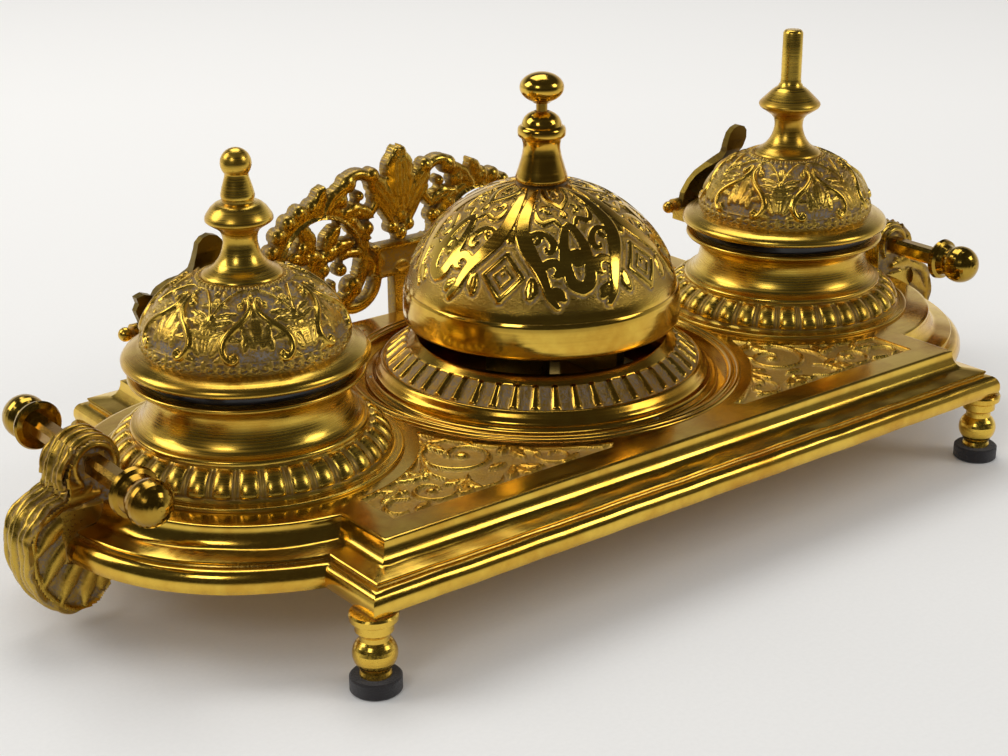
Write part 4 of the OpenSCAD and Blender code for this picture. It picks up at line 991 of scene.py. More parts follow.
def lid_ornament(a):
    """Hearts of paired scrolls under an arch, with leaves between: one unit of the lid."""
    o = Ornament()
    scroll = [(11.2, .705), (10.4, .67), (8.4, .675), (7.9, .725), (6.2, .775), (4.0, .775), (2.6, .73),
              (2.8, .665), (4.6, .605), (7.4, .55), (10.6, .495), (14.2, .445), (17.2, .39), (19.3, .33),
              (19.9, .26), (18.6, .19), (16.0, .14), (13.2, .135), (12.0, .17), (13.4, .205)]
    o.add(smooth(a.place(scroll)), 2.1, 1.25, (0.65, 0.65), swell=0.25)
    o.berry(a.at(9.6, .715), 1.2, 1.2)
    o.berry(a.at(14.4, .175), 1.1, 1.1)
    o.add(smooth(a.place([(0, .885), (4.4, .90), (9, .90), (12.5, .885), (16.5, .85), (20, .805),
                          (23.4, .75), (26, .69), (28.4, .61), (30, .53)])), 1.4, 1.0, (0.8, 0.8))
    for u, v, angle, length, width, bend in (
            (11.4, .625, 0, 7.4, 2.9, -28), (14.2, .55, -12, 7.2, 2.9, -8), (19.6, .44, -30, 5.6, 2.7, 10),
            (0.0, .29, 90, 8.2, 4.0, 0), (1.4, .255, 42, 6.4, 2.8, 34), (0.0, .57, 90, 4.6, 2.8, 0),
            (5.6, .43, 45, 5.2, 2.4, -20), (9.6, .34, 15, 4.8, 2.3, -10), (8.4, .22, 95, 4.6, 2.6, 0),
            (30, .20, 90, 8.4, 4.0, 0), (28.2, .18, 126, 6.6, 2.9, -20), (25.4, .14, 165, 4.6, 2.3, -10),
            (30, .43, 90, 5.2, 3.2, 0), (25.2, .42, 62, 6.0, 2.6, 20), (29.6, .68, 90, 4.8, 3.0, 0),
            (18.6, .69, 30, 4.6, 2.3, -30), (25.0, .84, 70, 3.6, 2.4, 0), (0.0, .80, 90, 2.6, 2.6, 0)):
        o.leaf(a.at(u, v), angle, length, width, 0.85, bend)
    for k in range(5):
        u = 3 + 6 * k
        o.add(spiral(a.at(u, .055), 1.15, 0.5, 200, 520), 0.62, 0.75, (0.6, 0.8))
        o.berry(a.at(u, .055), 0.42, 0.8)
        o.leaf(a.at(u + 3, .025), 90, 2.6, 1.3, 0.75)
    for k in range(4):
        o.leaf(a.at(3.75 + 7.5 * k, .945), 90, 2.2, 2.5, 0.8)
    o.add(a.place([(-2, .125), (32, .125)]), 0.5, 0.5, (1, 1))
    return o.mirrored()


def lid_shape(a, depth):
    ornament = lid_ornament(a)

    def shape(angle, along, radius):
        height = ornament.measure(a.fold(angle, along))[0]
        zone = np.clip((along - a.first) / 0.8, 0, 1) * np.clip((a.last + 0.4 - along) / 0.8, 0, 1)
        residue, sunk = (np.clip(most - 1.3 * height, 0, 1) * zone for most in (1, 1.1))
        return (height - 0.25) * depth * zone, residue, sunk

    return shape


class INKSTAND_OT_lids(bpy.types.Operator):
    """Casts the two domed lids with their hearts of scrolls and leaves"""

    bl_idname = "inkstand.lids"
    bl_label = "Lids"

    def execute(self, context):
        profile, start, end = lid_profile()
        for side, x, y in both_wells():
            around = Around(profile, relief().lid_units, math.radians(LID_PHASE[side]), start, end)
            casting(f"{side}_lid_casting", f"{side}_cover", f"{side}_relief", f"{side}_lid", profile,
                    (x, y, high(f"{side}_ink_pot")), LID_STEPS, lid_shape(around, relief().lid_depth / MM),
                    LID_WALL)
        return {"FINISHED"}


FINIAL_STEM = [(9.6, 0), (9.45, .5), (9.0, 1.0), (7.6, 1.8), (6.6, 2.5), (5.9, 3.3), (5.2, 4.3), (4.7, 5.3),
               (4.3, 6.5), (4.05, 7.6), (4.0, 8.3), (4.05, 9.2), (4.3, 10.2), (4.8, 11.0)]
LEFT_CUP = [(5.6, 11.6), (7.0, 12.5), (7.6, 12.9), (7.85, 13.2), (7.9, 13.5), (7.85, 13.9), (7.6, 14.5),
            (7.2, 15.1), (6.5, 16.1), (5.6, 16.9), (5.0, 17.2), (4.2, 17.3), (3.7, 17.5), (3.6, 17.9),
            (3.85, 18.4), (3.95, 19.0), (3.85, 19.5), (3.6, 20.6), (3.2, 22.0), (2.8, 23.3), (2.75, 23.9)]
RIGHT_CUP = [(5.4, 11.6), (6.4, 12.2), (7.4, 12.9), (8.2, 13.4), (8.6, 13.9), (8.7, 14.3), (8.6, 14.7),
             (8.2, 15.2), (7.4, 16.0), (6.3, 17.1), (5.2, 18.2), (4.3, 18.9), (3.6, 19.3), (3.35, 19.9),
             (2.95, 20.4), (2.85, 21.6), (2.85, 27.0), (2.8, 34.4), (2.5, 35.05), (2.2, 35.3), (0.0, 35.3)]
BALL_R, BALL_H = 3.6, 26.4
WELL_FOOT_R, WELL_WAIST_R, WELL_BORE_R, WELL_H, WAIST_H = 28.3, 23.9, 21.8, 13.6, 8.9
EAR_IN, EAR_OUT, EAR_FRONT, HINGE_R = 11.3, 12.7, 24.5, 2.2


class INKSTAND_OT_wells(bpy.types.Operator):
    """Turns the waisted wells and models their hinge ears"""

    bl_idname = "inkstand.wells"
    bl_label = "Wells"

    def execute(self, context):
        quarter = np.radians(np.linspace(0, 90, 19))
        waist = [(WELL_WAIST_R + (WELL_FOOT_R - WELL_WAIST_R) * (1 - math.sin(a)),
                  WAIST_H - 7.7 * math.cos(a))
                 for a in quarter]
        flare = [(27.3 - (27.3 - WELL_WAIST_R) * math.cos(a), WAIST_H + 3.3 * math.sin(a))
                 for a in quarter[1:-1]]
        profile = ([(0.0, 0.0), (28.1, 0.0), (28.3, 0.2), (28.3, 0.7), (28.15, 1.0)] + waist[1:] + flare
                   + [(27.4, 12.3), (27.9, 12.5), (28.1, 12.8), (28.1, 13.2), (27.9, 13.5), (27.6, WELL_H),
                      (WELL_BORE_R, WELL_H), (WELL_BORE_R, 0.5), (0.0, 0.5)])
        for side, x, y in both_wells():
            z = high(f"{side}_collar")
            bm = spun(profile, (x, y, z), 144)
            for way in (-1, 1):
                self.ear(bm, x + way * (EAR_IN + EAR_OUT) / 2, z + WELL_H, middle(f"{side}_hinge_pin"))
            new_piece(f"{side}_well_turning", bm, "stand", f"{side}_turned", [f"{side}_well"],
                      sharp=38)
        return {"FINISHED"}

    def ear(self, bm, x, rim, pin):
        """A flat arm behind the rim with a round end about the hinge pin."""
        back, height = pin[1] - EAR_FRONT, pin[2] - rim + 2
        arm = bmesh.ops.create_cube(bm, size=1.0)["verts"]
        bmesh.ops.scale(bm, vec=(EAR_OUT - EAR_IN, back, height), verts=arm)
        bmesh.ops.translate(bm, vec=(x, EAR_FRONT + back / 2, rim - 2 + height / 2), verts=arm)
        turn = Matrix.Rotation(math.pi / 2, 4, "Y")
        end = bmesh.ops.create_cone(bm, cap_ends=True, segments=32, radius1=HINGE_R, radius2=HINGE_R,
                                    depth=EAR_OUT - EAR_IN + 0.02, matrix=turn)["verts"]
        bmesh.ops.translate(bm, vec=(x, pin[1], pin[2]), verts=end)


class INKSTAND_OT_finials(bpy.types.Operator):
    """Turns the finials of the lids"""

    bl_idname = "inkstand.finials"
    bl_label = "Finials"

    def execute(self, context):
        ball = [(BALL_R * math.cos(a), BALL_H + BALL_R * math.sin(a))
                for a in np.radians(np.linspace(-40, 90, 26))]
        tops = {"left": LEFT_CUP + ball, "right": RIGHT_CUP}
        for side, x, y in both_wells():
            turning(f"{side}_finial_turning", f"{side}_cover", f"{side}_turned", f"{side}_finial",
                    [(0.0, -0.2), (9.5, -0.2)] + FINIAL_STEM + tops[side],
                    (x, y, high(f"{side}_ink_pot") + FINIAL_H))
        return {"FINISHED"}


BELL_R, BELL_H, BELL_POWER, BELL_BAND = 36.0, 30.0, 1.15, 6.3
BELL_PHASE, BELL_STEPS, BELL_WALL, BELL_CROWN = -147, 640, 2.0, 1.7
KNOB_TRAVEL, KNOB_R, KNOB_H = 2.0, 5.7, 3.9
COLUMN = [(0.0, 0.0), (6.5, 0.0), (6.8, 0.4), (6.75, 1.1), (6.5, 2.1), (6.1, 3.2), (5.75, 4.5), (5.4, 5.6),
          (5.05, 7.0), (4.8, 8.6), (4.85, 9.8), (5.1, 10.7), (5.3, 11.2), (5.8, 11.5), (6.15, 11.9),
          (6.25, 12.6), (6.2, 13.5), (6.0, 14.0), (5.6, 14.3), (5.2, 14.5), (5.1, 15.1), (4.8, 15.9),
          (4.3, 16.7), (3.5, 17.4), (2.6, 17.85), (2.1, 18.0), (1.6, 17.6)]


def bell_profile():
    """The bell's outer profile over its rim: the plain band, its bead and the dome."""
    band = [(35.0, 0.0), (36.1, 0.0), (36.4, 0.3), (36.5, 0.9), (36.55, 2.0), (36.55, 3.4), (36.5, 5.0),
            (36.42, 7.0), (36.3, 8.4), (36.05, 8.9), (35.93, 9.1)]
    dome = [(BELL_R * math.cos(a), BELL_BAND + BELL_H * math.sin(a) ** BELL_POWER)
            for a in np.radians(np.linspace(7.2, 80.5, 135))]
    lower = rows(band, 0.5)
    return lower + dome + [(4.0, dome[-1][1] + 0.4)], len(lower) + 8, len(lower) + 134


def bell_ornament(a):
    """Flat strapwork round a lozenge, with curls and leaves: one unit of the bell."""
    o = Ornament()
    strap = [(13, .97), (9.2, .93), (6.6, .85), (5.4, .74), (5.2, .62), (6.6, .53), (9.4, .45), (13.6, .36),
             (17.2, .28), (19.6, .20), (21.4, .12), (24.5, .055)]
    o.add(smooth(a.place(strap)), 5.2, 1.0, (0.5, 0.4), "flat", 0.2)
    for width, height, taper, points in (
            (3.6, 0.95, (0.8, 0.5), [(17.0, .285), (20.5, .325), (24.0, .335), (26.4, .30), (26.0, .255),
                                     (23.6, .25)]),
            (3.4, 0.95, (0.9, 0.5), [(9.0, .47), (12.5, .53), (17.0, .545), (21.6, .52), (24.4, .47),
                                     (24.0, .42), (21.4, .405), (20.0, .435)]),
            (4.0, 0.95, (1, 1), [(36.2, .60), (33.0, .56), (30.6, .47), (29.8, .36), (30.6, .26), (32.4, .19),
                                 (36.2, .16)]),
            (3.6, 0.9, (0.8, 0.5), [(30.5, .60), (27.4, .645), (23.0, .635), (18.6, .62), (14.6, .655),
                                    (13.0, .72)]),
            (4.6, 0.95, (1, 0.6), [(36.2, .75), (31.0, .79), (25.0, .83), (20.0, .89), (18.0, .97)]),
            (3.0, 0.95, (0.6, 0.6), [(29.4, .88), (30.4, .93), (28.0, .97)])):
        o.add(smooth(a.place(points)), width, height, taper, "flat")
    for at in ((36.0, .36), (36.0, .94), (12.0, .82), (23.5, .74)):
        o.add(spiral(a.at(*at), 2.9, 1.2, 30, 330), 2.2, 0.9, (0.7, 0.6), "flat")
    rhomb = [(-0.2, .385), (4.6, .31), (9.2, .235), (4.6, .16), (-0.2, .085)]
    o.add(straight(a.place(rhomb)), 1.9, 0.95, (1, 1), "flat")
    o.add(straight(a.place([(-0.2, .30), (4.4, .235), (-0.2, .165)])), 1.1, 0.8, (1, 1), "flat")
    o.berry(a.at(0, .25), 0.8, 1.0)
    for u, v, angle, length, width, bend in (
            (0.2, .46, 90, 7.5, 4.4, 0), (0.4, .60, 90, 7.5, 4.0, 0), (1.4, .76, 90, 7.5, 4.4, 0),
            (10.4, .73, 85, 6.5, 3.4, -10), (16.2, .72, 70, 6.0, 3.2, -20), (28.0, .70, 160, 6.0, 3.0, -30),
            (12.6, .10, 60, 6.4, 3.6, 50), (35.6, .30, 90, 5.4, 3.0, 0), (28.4, .09, 120, 5.0, 3.2, 30),
            (35.6, .66, 90, 5.0, 3.6, 0), (14.6, .46, 60, 4.6, 2.6, 0), (33.5, .84, 90, 4.6, 3.0, 0)):
        o.leaf(a.at(u, v), angle, length, width, 0.9, bend)
    return o.mirrored()


class INKSTAND_OT_bell(bpy.types.Operator):
    """Casts the press bell with its strapwork, and turns its column and knob"""

    bl_idname = "inkstand.bell"
    bl_label = "Bell"

    def execute(self, context):
        profile, start, end = bell_profile()
        around = Around(profile, relief().bell_units, math.radians(BELL_PHASE), start, end)
        ornament = bell_ornament(around)
        depth = relief().bell_depth / MM

        def shape(angle, along, radius):
            top, inside = ornament.measure(around.fold(angle, along))
            zone = np.clip((along - around.first + 1.2) / 3.4, 0, 1)
            groove = np.exp(-((inside + 0.28) / 0.36) ** 2)
            ground = np.clip(1 - 1.6 * top, 0, 1)
            return (top - 0.35 - 0.3 * groove) * depth * zone, 0.85 * zone * groove * ground, ground * zone

        wall = [((BELL_R - BELL_WALL) * math.cos(a),
                 BELL_BAND + (BELL_H - BELL_CROWN) * math.sin(a) ** BELL_POWER)
                for a in map(math.radians, range(0, 85, 12))]
        casting("bell_casting", "stand", "bell_relief", "bell", profile, (0, BELL_Y, low("bell")), BELL_STEPS,
                shape, wall)
        turning("bell_column_turning", "stand", "bell_turned", "bell_column", COLUMN,
                (0, BELL_Y, low("bell_column")))
        knob = [(KNOB_R * math.cos(a), KNOB_H + KNOB_H * math.sin(a))
                for a in np.radians(np.linspace(-62, 90, 36))]
        turning("push_knob_turning", "plunger", "bell_turned", "push_knob", [(0.0, 0.0), (2.2, 0.0)] + knob,
                (0, BELL_Y, low("push_knob")))
        self.spring()
        return {"FINISHED"}

    def spring(self):
        """The return spring, copied from its node at its one length, though the real one shortens as the knob
        goes down.
        """
        bm = bmesh.new()
        bm.from_mesh(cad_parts["return_spring"].data)
        bmesh.ops.remove_doubles(bm, verts=bm.verts, dist=1e-6)
        bmesh.ops.scale(bm, vec=(1 / MM, 1 / MM, 1 / MM), verts=bm.verts)
        piece = new_piece("return_spring_coil", bm, "stand", "steel", ["return_spring"], sharp=80)
        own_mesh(piece)


STEPS_PER_FLUTE, STEPS_PER_LOBE = 14, 18
RING_PROFILE = [(43.0, 0.0), (47.0, 0.0), (47.2, 0.2), (47.2, 0.9), (47.0, 1.25), (46.6, 1.45), (45.5, 1.6),
                (45.0, 1.9), (44.75, 2.4), (44.6, 3.1), (44.45, 3.5), (44.1, 3.9), (43.6, 4.4), (43.2, 5.0),
                (42.8, 5.6), (42.4, 5.95), (42.0, 6.1), (41.7, 6.0), (41.5, 5.7)]


class INKSTAND_OT_ring(bpy.types.Operator):
    """Casts the fluted base ring under the bell"""

    bl_idname = "inkstand.ring"
    bl_label = "Bell ring"

    def execute(self, context):
        outer = rows(RING_PROFILE, 0.5)
        slope = rows([(41.5, 5.7), (41.0, 5.9), (36.2, 9.75), (36.0, 9.9), (35.9, 10.2)], 0.3)
        inner = rows([(35.9, 10.2), (35.0, 11.0), (33.5, 12.3), (33.3, 12.4), (33.0, 12.1), (33.0, 10.2),
                      (35.2, 7.9), (40.0, 4.6), (43.0, 2.0), (43.0, 0.0)], 1.0)
        profile = outer + slope[1:] + inner[1:]
        run = run_along(profile)
        first, last = run[len(outer) - 1], run[len(outer) + len(slope) - 2]
        pitch = math.tau / relief().flutes

        def shape(angle, along, radius):
            turn = (angle - pitch / 2) % pitch
            turn = np.minimum(turn, pitch - turn)
            t = np.clip((along - first) / (last - first), 0, 1)
            half = 1.35 - 0.5 * t
            end = np.clip(np.minimum(t / 0.09, (1 - t) / 0.05), 0, 1)
            bar = np.sqrt(np.clip(1 - (turn * radius / half) ** 2, 0, 1)) * np.sqrt(end)
            zone = (along > first) & (along < last)
            ground = zone * np.clip(1 - bar * 2, 0, 1)
            return (bar * 0.95 - 0.1) * zone, ground * 0.8, ground

        casting("bell_ring_casting", "stand", "ring", "bell_ring", profile, (0, BELL_Y, low("bell_ring")),
                relief().flutes * STEPS_PER_FLUTE, shape)
        return {"FINISHED"}


class INKSTAND_OT_collars(bpy.types.Operator):
    """Casts the gadrooned collars under the wells"""

    bl_idname = "inkstand.collars"
    bl_label = "Collars"

    def execute(self, context):
        lobes = relief().lobes
        pitch = math.tau / lobes
        foot = [(28.0, 0.0), (36.4, 0.0), (36.5, 0.15), (36.5, 0.65), (36.35, 0.8), (34.4, 0.85), (33.7, 1.0),
                (33.5, 1.3), (33.45, 1.6)]
        ovolo = smooth([(33.4, 1.7), (33.2, 2.9), (32.5, 4.2), (31.4, 5.4), (30.0, 6.4),
                        (28.5, 7.1)], 0.31)[:26]
        lower = rows(foot, 0.5)
        profile = lower + [tuple(p) for p in ovolo] + [(28.4, 7.05), (28.3, 7.4), (26.0, 7.4)]
        run = run_along(profile)
        first, last = run[len(lower)], run[len(lower) + len(ovolo) - 1]

        def shape(angle, along, radius):
            t = np.clip((along - first) / (last - first), 0, 1)
            zone = (along > first - 0.2) & (along < last + 0.2)
            u = ((angle / pitch) % 1 - 0.5) * 2
            ends = np.clip(np.minimum(t / 0.05, (1.02 - t) / 0.04), 0, 1)
            lobe = np.sqrt(np.clip(1 - (u / 0.74) ** 2, 0, 1)) * np.sqrt(ends)
            rib = 0.5 * np.exp(-((np.abs(u) - 1) / 0.09) ** 2) * ends
            rise = np.maximum(1.05 * lobe, rib) - 0.5
            ground = zone * np.clip(1 - 2.4 * lobe, 0, 1)
            return rise * zone, 0.6 * ground * np.clip(1 - 2 * rib, 0, 1), ground

        for side, x, y in both_wells():
            casting(f"{side}_collar_casting", "stand", f"{side}_turned", f"{side}_collar", profile,
                    (x, y, low(f"{side}_collar")), lobes * STEPS_PER_LOBE, shape)
        return {"FINISHED"}


# ---- gallery and brackets -----------------------------------------------------------------------

SCROLL = (-27.5, 17.2)
GALLERY_W, GALLERY_TOP, GALLERY_PITCH = 94.0, 50.0, 0.42
GALLERY_RISE, SNAP_STEP, OPENING = 1.9, 0.05, -0.08


def gallery_ornament():
    """The pierced gallery: a scroll ring with a leafy back, a palmette and a curl. One half, mirrored."""
    o = Ornament()
    cx, cz = SCROLL
    o.add(ellipse(SCROLL, 14.9, 14.9, -78, 282), 4.4, 0.75, (1, 1))
    o.add(ellipse(SCROLL, 13.2, 13.2, -70, 262), 1.3, 1.25, (0.8, 0.8))
    for angle, r in ((200, 2.2), (180, 2.5), (160, 2.3), (143, 2.5), (127, 2.4), (112, 2.6), (97, 2.5)):
        a = math.radians(angle)
        o.berry((cx + 16.6 * math.cos(a), cz + 16.6 * math.sin(a)), r, 1.1)
    for foot, angle, length, width, bend in (
            ((-29, 31), 70, 9, 4.2, -10), ((-25.5, 31), 60, 12, 4.6, -40), ((-20, 30), 25, 11, 4.4, -70),
            ((-31, 19), -75, 12, 5.2, 20), ((-29, 20), 180, 9, 4.2, -15), ((-30, 21), 100, 9, 5, 25),
            ((-24, 19.5), 200, 8, 4.4, 0), ((-24, 20), 20, 8, 4, -15), ((-26, 21), 60, 8, 4.2, -20),
            ((-10, 22), 160, 10, 4.0, -50), ((-16, 24), 100, 8, 4, 20),
            ((0, 27), 90, 19.5, 8.4, 0), ((-1, 27), 111, 16, 6.2, 26)):
        o.leaf(foot, angle, length, width, 1.15, bend)
    for at, r in (((-30, 19), 3.0), ((-24.5, 19.5), 2.7), ((-27, 15), 2.3), ((-33.5, 22.5), 2.1),
                  ((-21, 14), 2.0), ((-17, 7.9), 3.3), ((-14, 34.5), 1.5), ((-17.5, 38.5), 2.8),
                  ((-9.2, 39.5), 2.4), ((-20.2, 34.2), 2.5), ((0, 26.4), 2.4), ((-2.7, 23.4), 2.1),
                  ((0, 21.2), 2.2), ((-17, 27.5), 2.3), ((-11.5, 24.5), 2.2)):
        o.berry(at, r, 1.2)
    o.add(spiral((-17, 9.2), 9.2, 6.8, 110, -190), 3.6, 0.8, (0.8, 0.5))
    o.add(spiral((-14.6, 34.6), 7.2, 5.0, -60, 200), 3.4, 0.9, (0.8, 0.7))
    o.add(smooth([(-3, 25), (-6, 30), (-9, 33.5)]), 3.0, 0.9, (0.8, 0.8))
    for foot, tip, width in (((-12, 14), (-8, 14), 4.4), ((-27.5, 2.5), (-27.5, -6.4), 6.0),
                             ((0, 10), (0, -6.4), 6.4)):
        o.add(straight([foot, tip]), width, 0.6, (1, 1), "flat")
    o.mirrored()
    for foot, tip, width, height in (
            ((-9, 14), (9, 14), 9.4, 0.35), ((-9.6, 9.9), (9.6, 9.9), 1.7, 1.5),
            ((-9.6, 18.1), (9.6, 18.1), 1.7, 1.5), ((-9.0, 9.6), (-9.0, 18.4), 1.9, 1.5),
            ((9.0, 9.6), (9.0, 18.4), 1.9, 1.5)):
        o.add(straight([foot, tip]), width, height, (1, 1), "flat")
    return o


class INKSTAND_OT_gallery(bpy.types.Operator):
    """Casts the pierced scroll gallery at the back"""

    bl_idname = "inkstand.gallery"
    bl_label = "Gallery"

    def execute(self, context):
        lo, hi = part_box("rear_gallery")
        y_front, y_back = lo[1] / MM + 1.0, hi[1] / MM
        z0 = high("base_plate")
        ornament = gallery_ornament()
        bottom = low("rear_gallery") - z0
        tall = GALLERY_TOP - bottom
        bm, flat = flat_grid((int(GALLERY_W / GALLERY_PITCH), int(tall / GALLERY_PITCH)), (GALLERY_W, tall),
                             (0, tall / 2 + bottom))
        height, inside = ornament.measure(flat)
        for _ in range(2):  # pulls the points near the outline onto it
            near = (np.abs(inside) < GALLERY_PITCH * 0.9)
            east = ornament.measure(flat[near] + (SNAP_STEP, 0))[1]
            north = ornament.measure(flat[near] + (0, SNAP_STEP))[1]
            slope = np.stack([east - inside[near], north - inside[near]], 1) / SNAP_STEP
            length = np.maximum(np.linalg.norm(slope, axis=1, keepdims=True), 0.3)
            outside = inside[near] < 0
            flat[near] -= np.where(outside[:, None], slope / length ** 2 * inside[near][:, None], 0)
            height, inside = ornament.measure(flat)
        for v, at, rise in zip(bm.verts, flat, height):
            v.co = (at[0], y_front - GALLERY_RISE * rise + 0.9, z0 + at[1])
        cut(bm, inside < OPENING)
        cut(bm, [not v.link_faces for v in bm.verts])
        for v in backed(bm):
            v.co.y = y_back - 0.35 * (v.co.y < y_front - 0.6)
        bmesh.ops.recalc_face_normals(bm, faces=bm.faces)
        piece = new_piece("gallery_casting", bm, "stand", "gallery", ["rear_gallery"], sharp=60)
        co = coordinates(piece.data) / MM
        top = ornament.measure(np.stack([co[:, 0], co[:, 2] - z0], 1))[0]
        aged(piece.data, np.clip(1 - 1.5 * top, 0, 1), np.clip(1 - 1.3 * top, 0, 1))
        return {"FINISHED"}


LEAF_COLUMNS, LEAF_WALL, LEAF_CORE = 44, 1.6, (138.5, 22.0)
SIDE_PITCH, SIDE_MARGIN, SIDE_SKIN, SIDE_RISE, SIDE_SINK = 0.4, 0.05, 0.05, 1.3, 0.5
NOTCH_END, NOTCH_H = 142.2, 12.5
BRACKET_MIDDLE, BRACKET_HALF = (138.0, 22.0), 5.0
BRACKET_INSIDE = [(131.0, 14.5), (131.2, 18.5), (127.4, 29.1), (126.9, 39.6), (129.0, 45.3), (133.1, 46.9)]
BAR_HOLE = np.array([(130.6, 38.1), (135.6, 38.1), (135.6, 43.1), (130.6, 43.1)])


def bracket_path():
    """The outer line of a bracket from its knuckle down to the volute, as distance out and height."""
    knee = straight([(137.4, 45.3), (139.6, 42.6), (140.6, 40.6), (141.0, 38.0), (140.5, 36.0),
                     (141.0, 34.2)], 0.5)
    back = smooth([(141.0, 34.2), (144.0, 33.0), (146.6, 31.6), (149.0, 29.4), (150.4, 26.4), (150.7, 22.0),
                   (150.3, 17.6), (148.6, 13.0), (145.6, 9.2), (141.5, 6.9), (137.6, 7.0), (134.4, 8.8),
                   (132.4, 11.8), (132.0, 14.6)], 0.5)
    return joined(knee, back)


def bracket_side_ornament(path):
    """Raised lines on a bracket's side: the leaf's rim, the stem and the volute."""
    o = Ornament()
    o.add(path[8:] + (-0.9, 0.0), 2.4, 1.0, (0.5, 0.8))
    for width, height, taper, veins in (
            (4.3, 1.0, (0.5, 0.35), (((133.0, 34.0), (142.0, 33.6), (147.6, 29.8)),
                                     ((132.6, 31.0), (142.6, 28.6), (149.4, 22.6)),
                                     ((132.6, 27.6), (141.6, 23.0), (148.6, 14.6)),
                                     ((133.0, 24.0), (139.6, 17.8), (144.6, 9.6)),
                                     ((133.0, 20.4), (136.6, 14.0), (138.8, 8.2)),
                                     ((132.6, 17.6), (133.6, 13.6), (134.4, 10.6)))),
            (2.6, 0.9, (0.5, 0.4), (((136.6, 36.6), (139.2, 36.8), (140.0, 39.0)),
                                    ((134.6, 36.0), (138.4, 33.6), (141.6, 34.2))))):
        for vein in veins:
            o.add(smooth(vein), width, height, taper)
    o.add(ellipse((133.1, 40.6), 4.9, 4.9, -40, 220), 1.8, 0.9, (0.6, 0.6))
    return o


class INKSTAND_OT_brackets(bpy.types.Operator):
    """Models the leaf that wraps each handle bracket, and the relief on its sides"""

    bl_idname = "inkstand.brackets"
    bl_label = "Brackets"

    def execute(self, context):
        path = bracket_path()
        run = run_along(path)
        ahead = np.gradient(path, axis=0)
        ahead /= np.linalg.norm(ahead, axis=1, keepdims=True)
        out = np.stack([-ahead[:, 1], ahead[:, 0]], 1)
        out *= np.sign((out * (path - BRACKET_MIDDLE)).sum(1))[:, None]
        for name, side in SIDES:
            bm = flat_grid((LEAF_COLUMNS, len(path) - 1), (1, 1), (0, 0))[0]
            ground = []
            for v in bm.verts:
                u = v.co.x * 2
                row = round((v.co.y + 0.5) * (len(path) - 1))
                s = run[row]
                share = s / run[-1]
                scallop = abs(math.sin(s * 0.36 + 0.6)) ** 0.7
                half = (5.5 + 1.3 * math.sin(math.pi * min(1, share * 1.25))) * (0.88 + 0.12 * scallop)
                half *= 1 - 0.35 * max(0, share - 0.75) / 0.25
                rib = abs(math.cos(u * 2.5 * math.pi + 0.5 * math.sin(s * 0.3))) ** 0.7
                lobe = 0.35 * abs(math.sin(s * 0.36 + 2.5 * abs(u) + 0.6))
                rise = (0.25 + 0.75 * rib + lobe + 0.5 * math.exp(-(u / 0.12) ** 2)
                        - 1.6 * max(0, abs(u) - 0.78))
                ground.append(1 - rib)
                x, z = path[row] + out[row] * rise
                v.co = (side * x, u * half, z)
            core = Vector((side * LEAF_CORE[0], 0, LEAF_CORE[1]))
            for v in backed(bm):
                away = (v.co - core) * Vector((1, 0, 1))
                v.co -= away.normalized() * LEAF_WALL
                v.co.y *= 0.93
            bmesh.ops.recalc_face_normals(bm, faces=bm.faces)
            mesh = new_piece(f"{name}_bracket_leaf", bm, "stand", "bracket", sharp=60).data
            values = np.zeros(len(mesh.vertices))
            values[:len(ground)] = ground
            aged(mesh, np.clip(values * 1.3 - 0.3, 0, 1), np.clip(values * 1.2 - 0.2, 0, 1))
            self.sides(name, side, path)
        return {"FINISHED"}

    def sides(self, name, side, path):
        """The relief on the bracket's two flat sides."""
        ornament = bracket_side_ornament(path)
        outline = np.vstack([path + (-0.4, 0.0), BRACKET_INSIDE])
        foot = low("base_plate") - 0.3
        for face, way in (("front", -1), ("rear", 1)):
            bm = cast_sheet(outline, SIDE_PITCH, SIDE_MARGIN)
            flat = np.array([v.co[:2] for v in bm.verts])
            plate = (flat[:, 0] < NOTCH_END) & (flat[:, 1] > foot) & (flat[:, 1] < foot + NOTCH_H)
            for v, at, rise in zip(bm.verts, flat, ornament.measure(flat)[0]):
                v.co = (side * at[0], way * (BRACKET_HALF + SIDE_SKIN + SIDE_RISE * rise), at[1])
            cut(bm, within(flat, BAR_HOLE) | plate)
            for v in backed(bm):
                v.co.y = way * (BRACKET_HALF - SIDE_SINK)
            bmesh.ops.recalc_face_normals(bm, faces=bm.faces)
            piece = new_piece(f"{name}_bracket_{face}_relief", bm, "stand", "bracket", sharp=60)
            co = coordinates(piece.data) / MM
            top = ornament.measure(np.stack([np.abs(co[:, 0]), co[:, 2]], 1))[0]
            aged(piece.data, np.clip(1 - 1.6 * top, 0, 1) * 0.9, np.clip(1 - 1.4 * top, 0, 1))


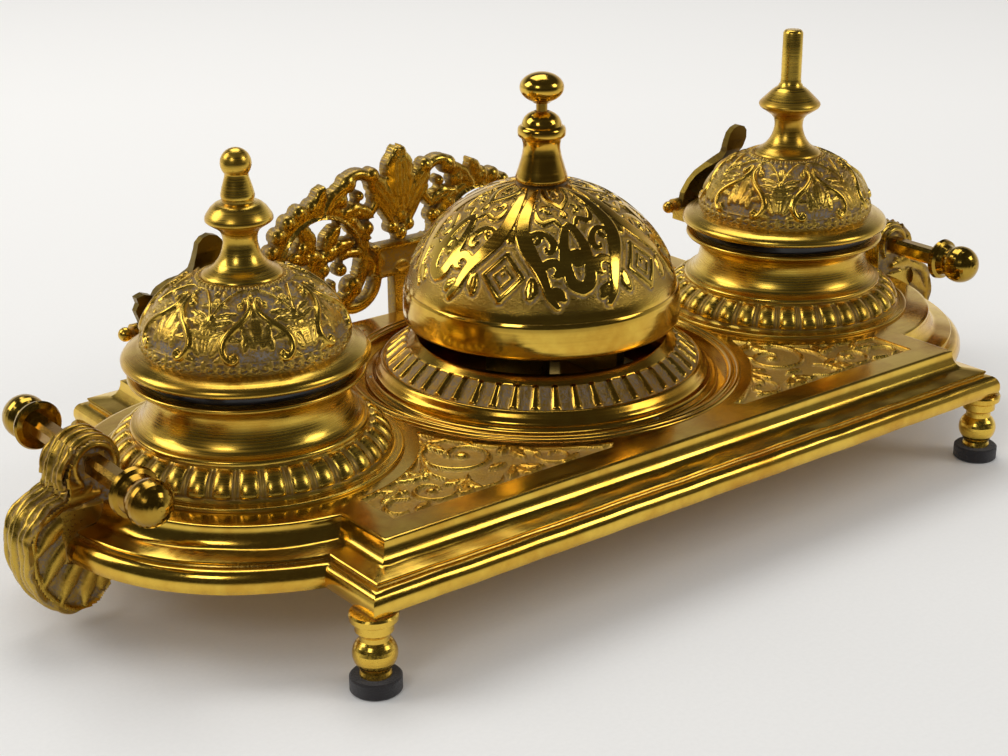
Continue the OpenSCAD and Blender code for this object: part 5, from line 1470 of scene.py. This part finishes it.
LOOKS = {"_pad": "felt", "_screws": "steel", "_nut": "steel", "_pin": "steel", "_hinge_pin": "foot",
         "_ink_pot": "dark_glass", "_lid_leaf": "dark", "striker_lever": "dark", "bell_bridge": "dark",
         "bell_post": "dark", "_bracket": "bracket", "_handle_bar": "handle", "_handle_knobs": "handle",
         "push_rod": "handle"}


class INKSTAND_OT_finishes(bpy.types.Operator):
    """Gives the pieces that keep their construction shape their finishes"""

    bl_idname = "inkstand.finishes"
    bl_label = "Finishes"

    def execute(self, context):
        by_length = sorted(LOOKS.items(), key=lambda look: -len(look[0]))
        for name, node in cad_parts.items():
            chosen = material(next((look for part, look in by_length if part in name), "foot"))
            if not node.data.materials:
                node.data.materials.append(chosen)
            for slot in node.material_slots:
                slot.material = chosen
        return {"FINISHED"}


class INKSTAND_PT_panel(bpy.types.Panel):
    """Lists the inkstand's pieces"""

    bl_idname = "INKSTAND_PT_panel"
    bl_label = "Desk Inkstand"
    bl_space_type = "VIEW_3D"
    bl_region_type = "UI"
    bl_category = "Inkstand"

    def draw(self, context):
        column = self.layout.column()
        for operator in OPERATORS:
            column.operator(operator.bl_idname)
        for settings in (context.scene.inkstand_relief, context.scene.inkstand_finish,
                         context.scene.inkstand_stage):
            for name in settings.bl_rna.properties.keys():
                if name not in ("rna_type", "name"):
                    column.prop(settings, name)


OPERATORS = [INKSTAND_OT_stage, INKSTAND_OT_finishes, INKSTAND_OT_plate, INKSTAND_OT_panels,
             INKSTAND_OT_collars, INKSTAND_OT_wells, INKSTAND_OT_lids, INKSTAND_OT_finials,
             INKSTAND_OT_ring, INKSTAND_OT_bell, INKSTAND_OT_gallery, INKSTAND_OT_brackets]
SETTINGS = {"inkstand_stage": StageSettings, "inkstand_finish": FinishSettings,
            "inkstand_relief": ReliefSettings}
CLASSES = [*SETTINGS.values(), *OPERATORS, INKSTAND_PT_panel]


def register():
    for cls in CLASSES:
        bpy.utils.register_class(cls)
    for name, cls in SETTINGS.items():
        setattr(bpy.types.Scene, name, PointerProperty(type=cls))


def unregister():
    for name in SETTINGS:
        delattr(bpy.types.Scene, name)
    for cls in reversed(CLASSES):
        bpy.utils.unregister_class(cls)


def main():
    register()
    for operator in OPERATORS:
        getattr(bpy.ops.inkstand, operator.bl_idname.split(".")[1])()


if __name__ == "__main__":
    main()
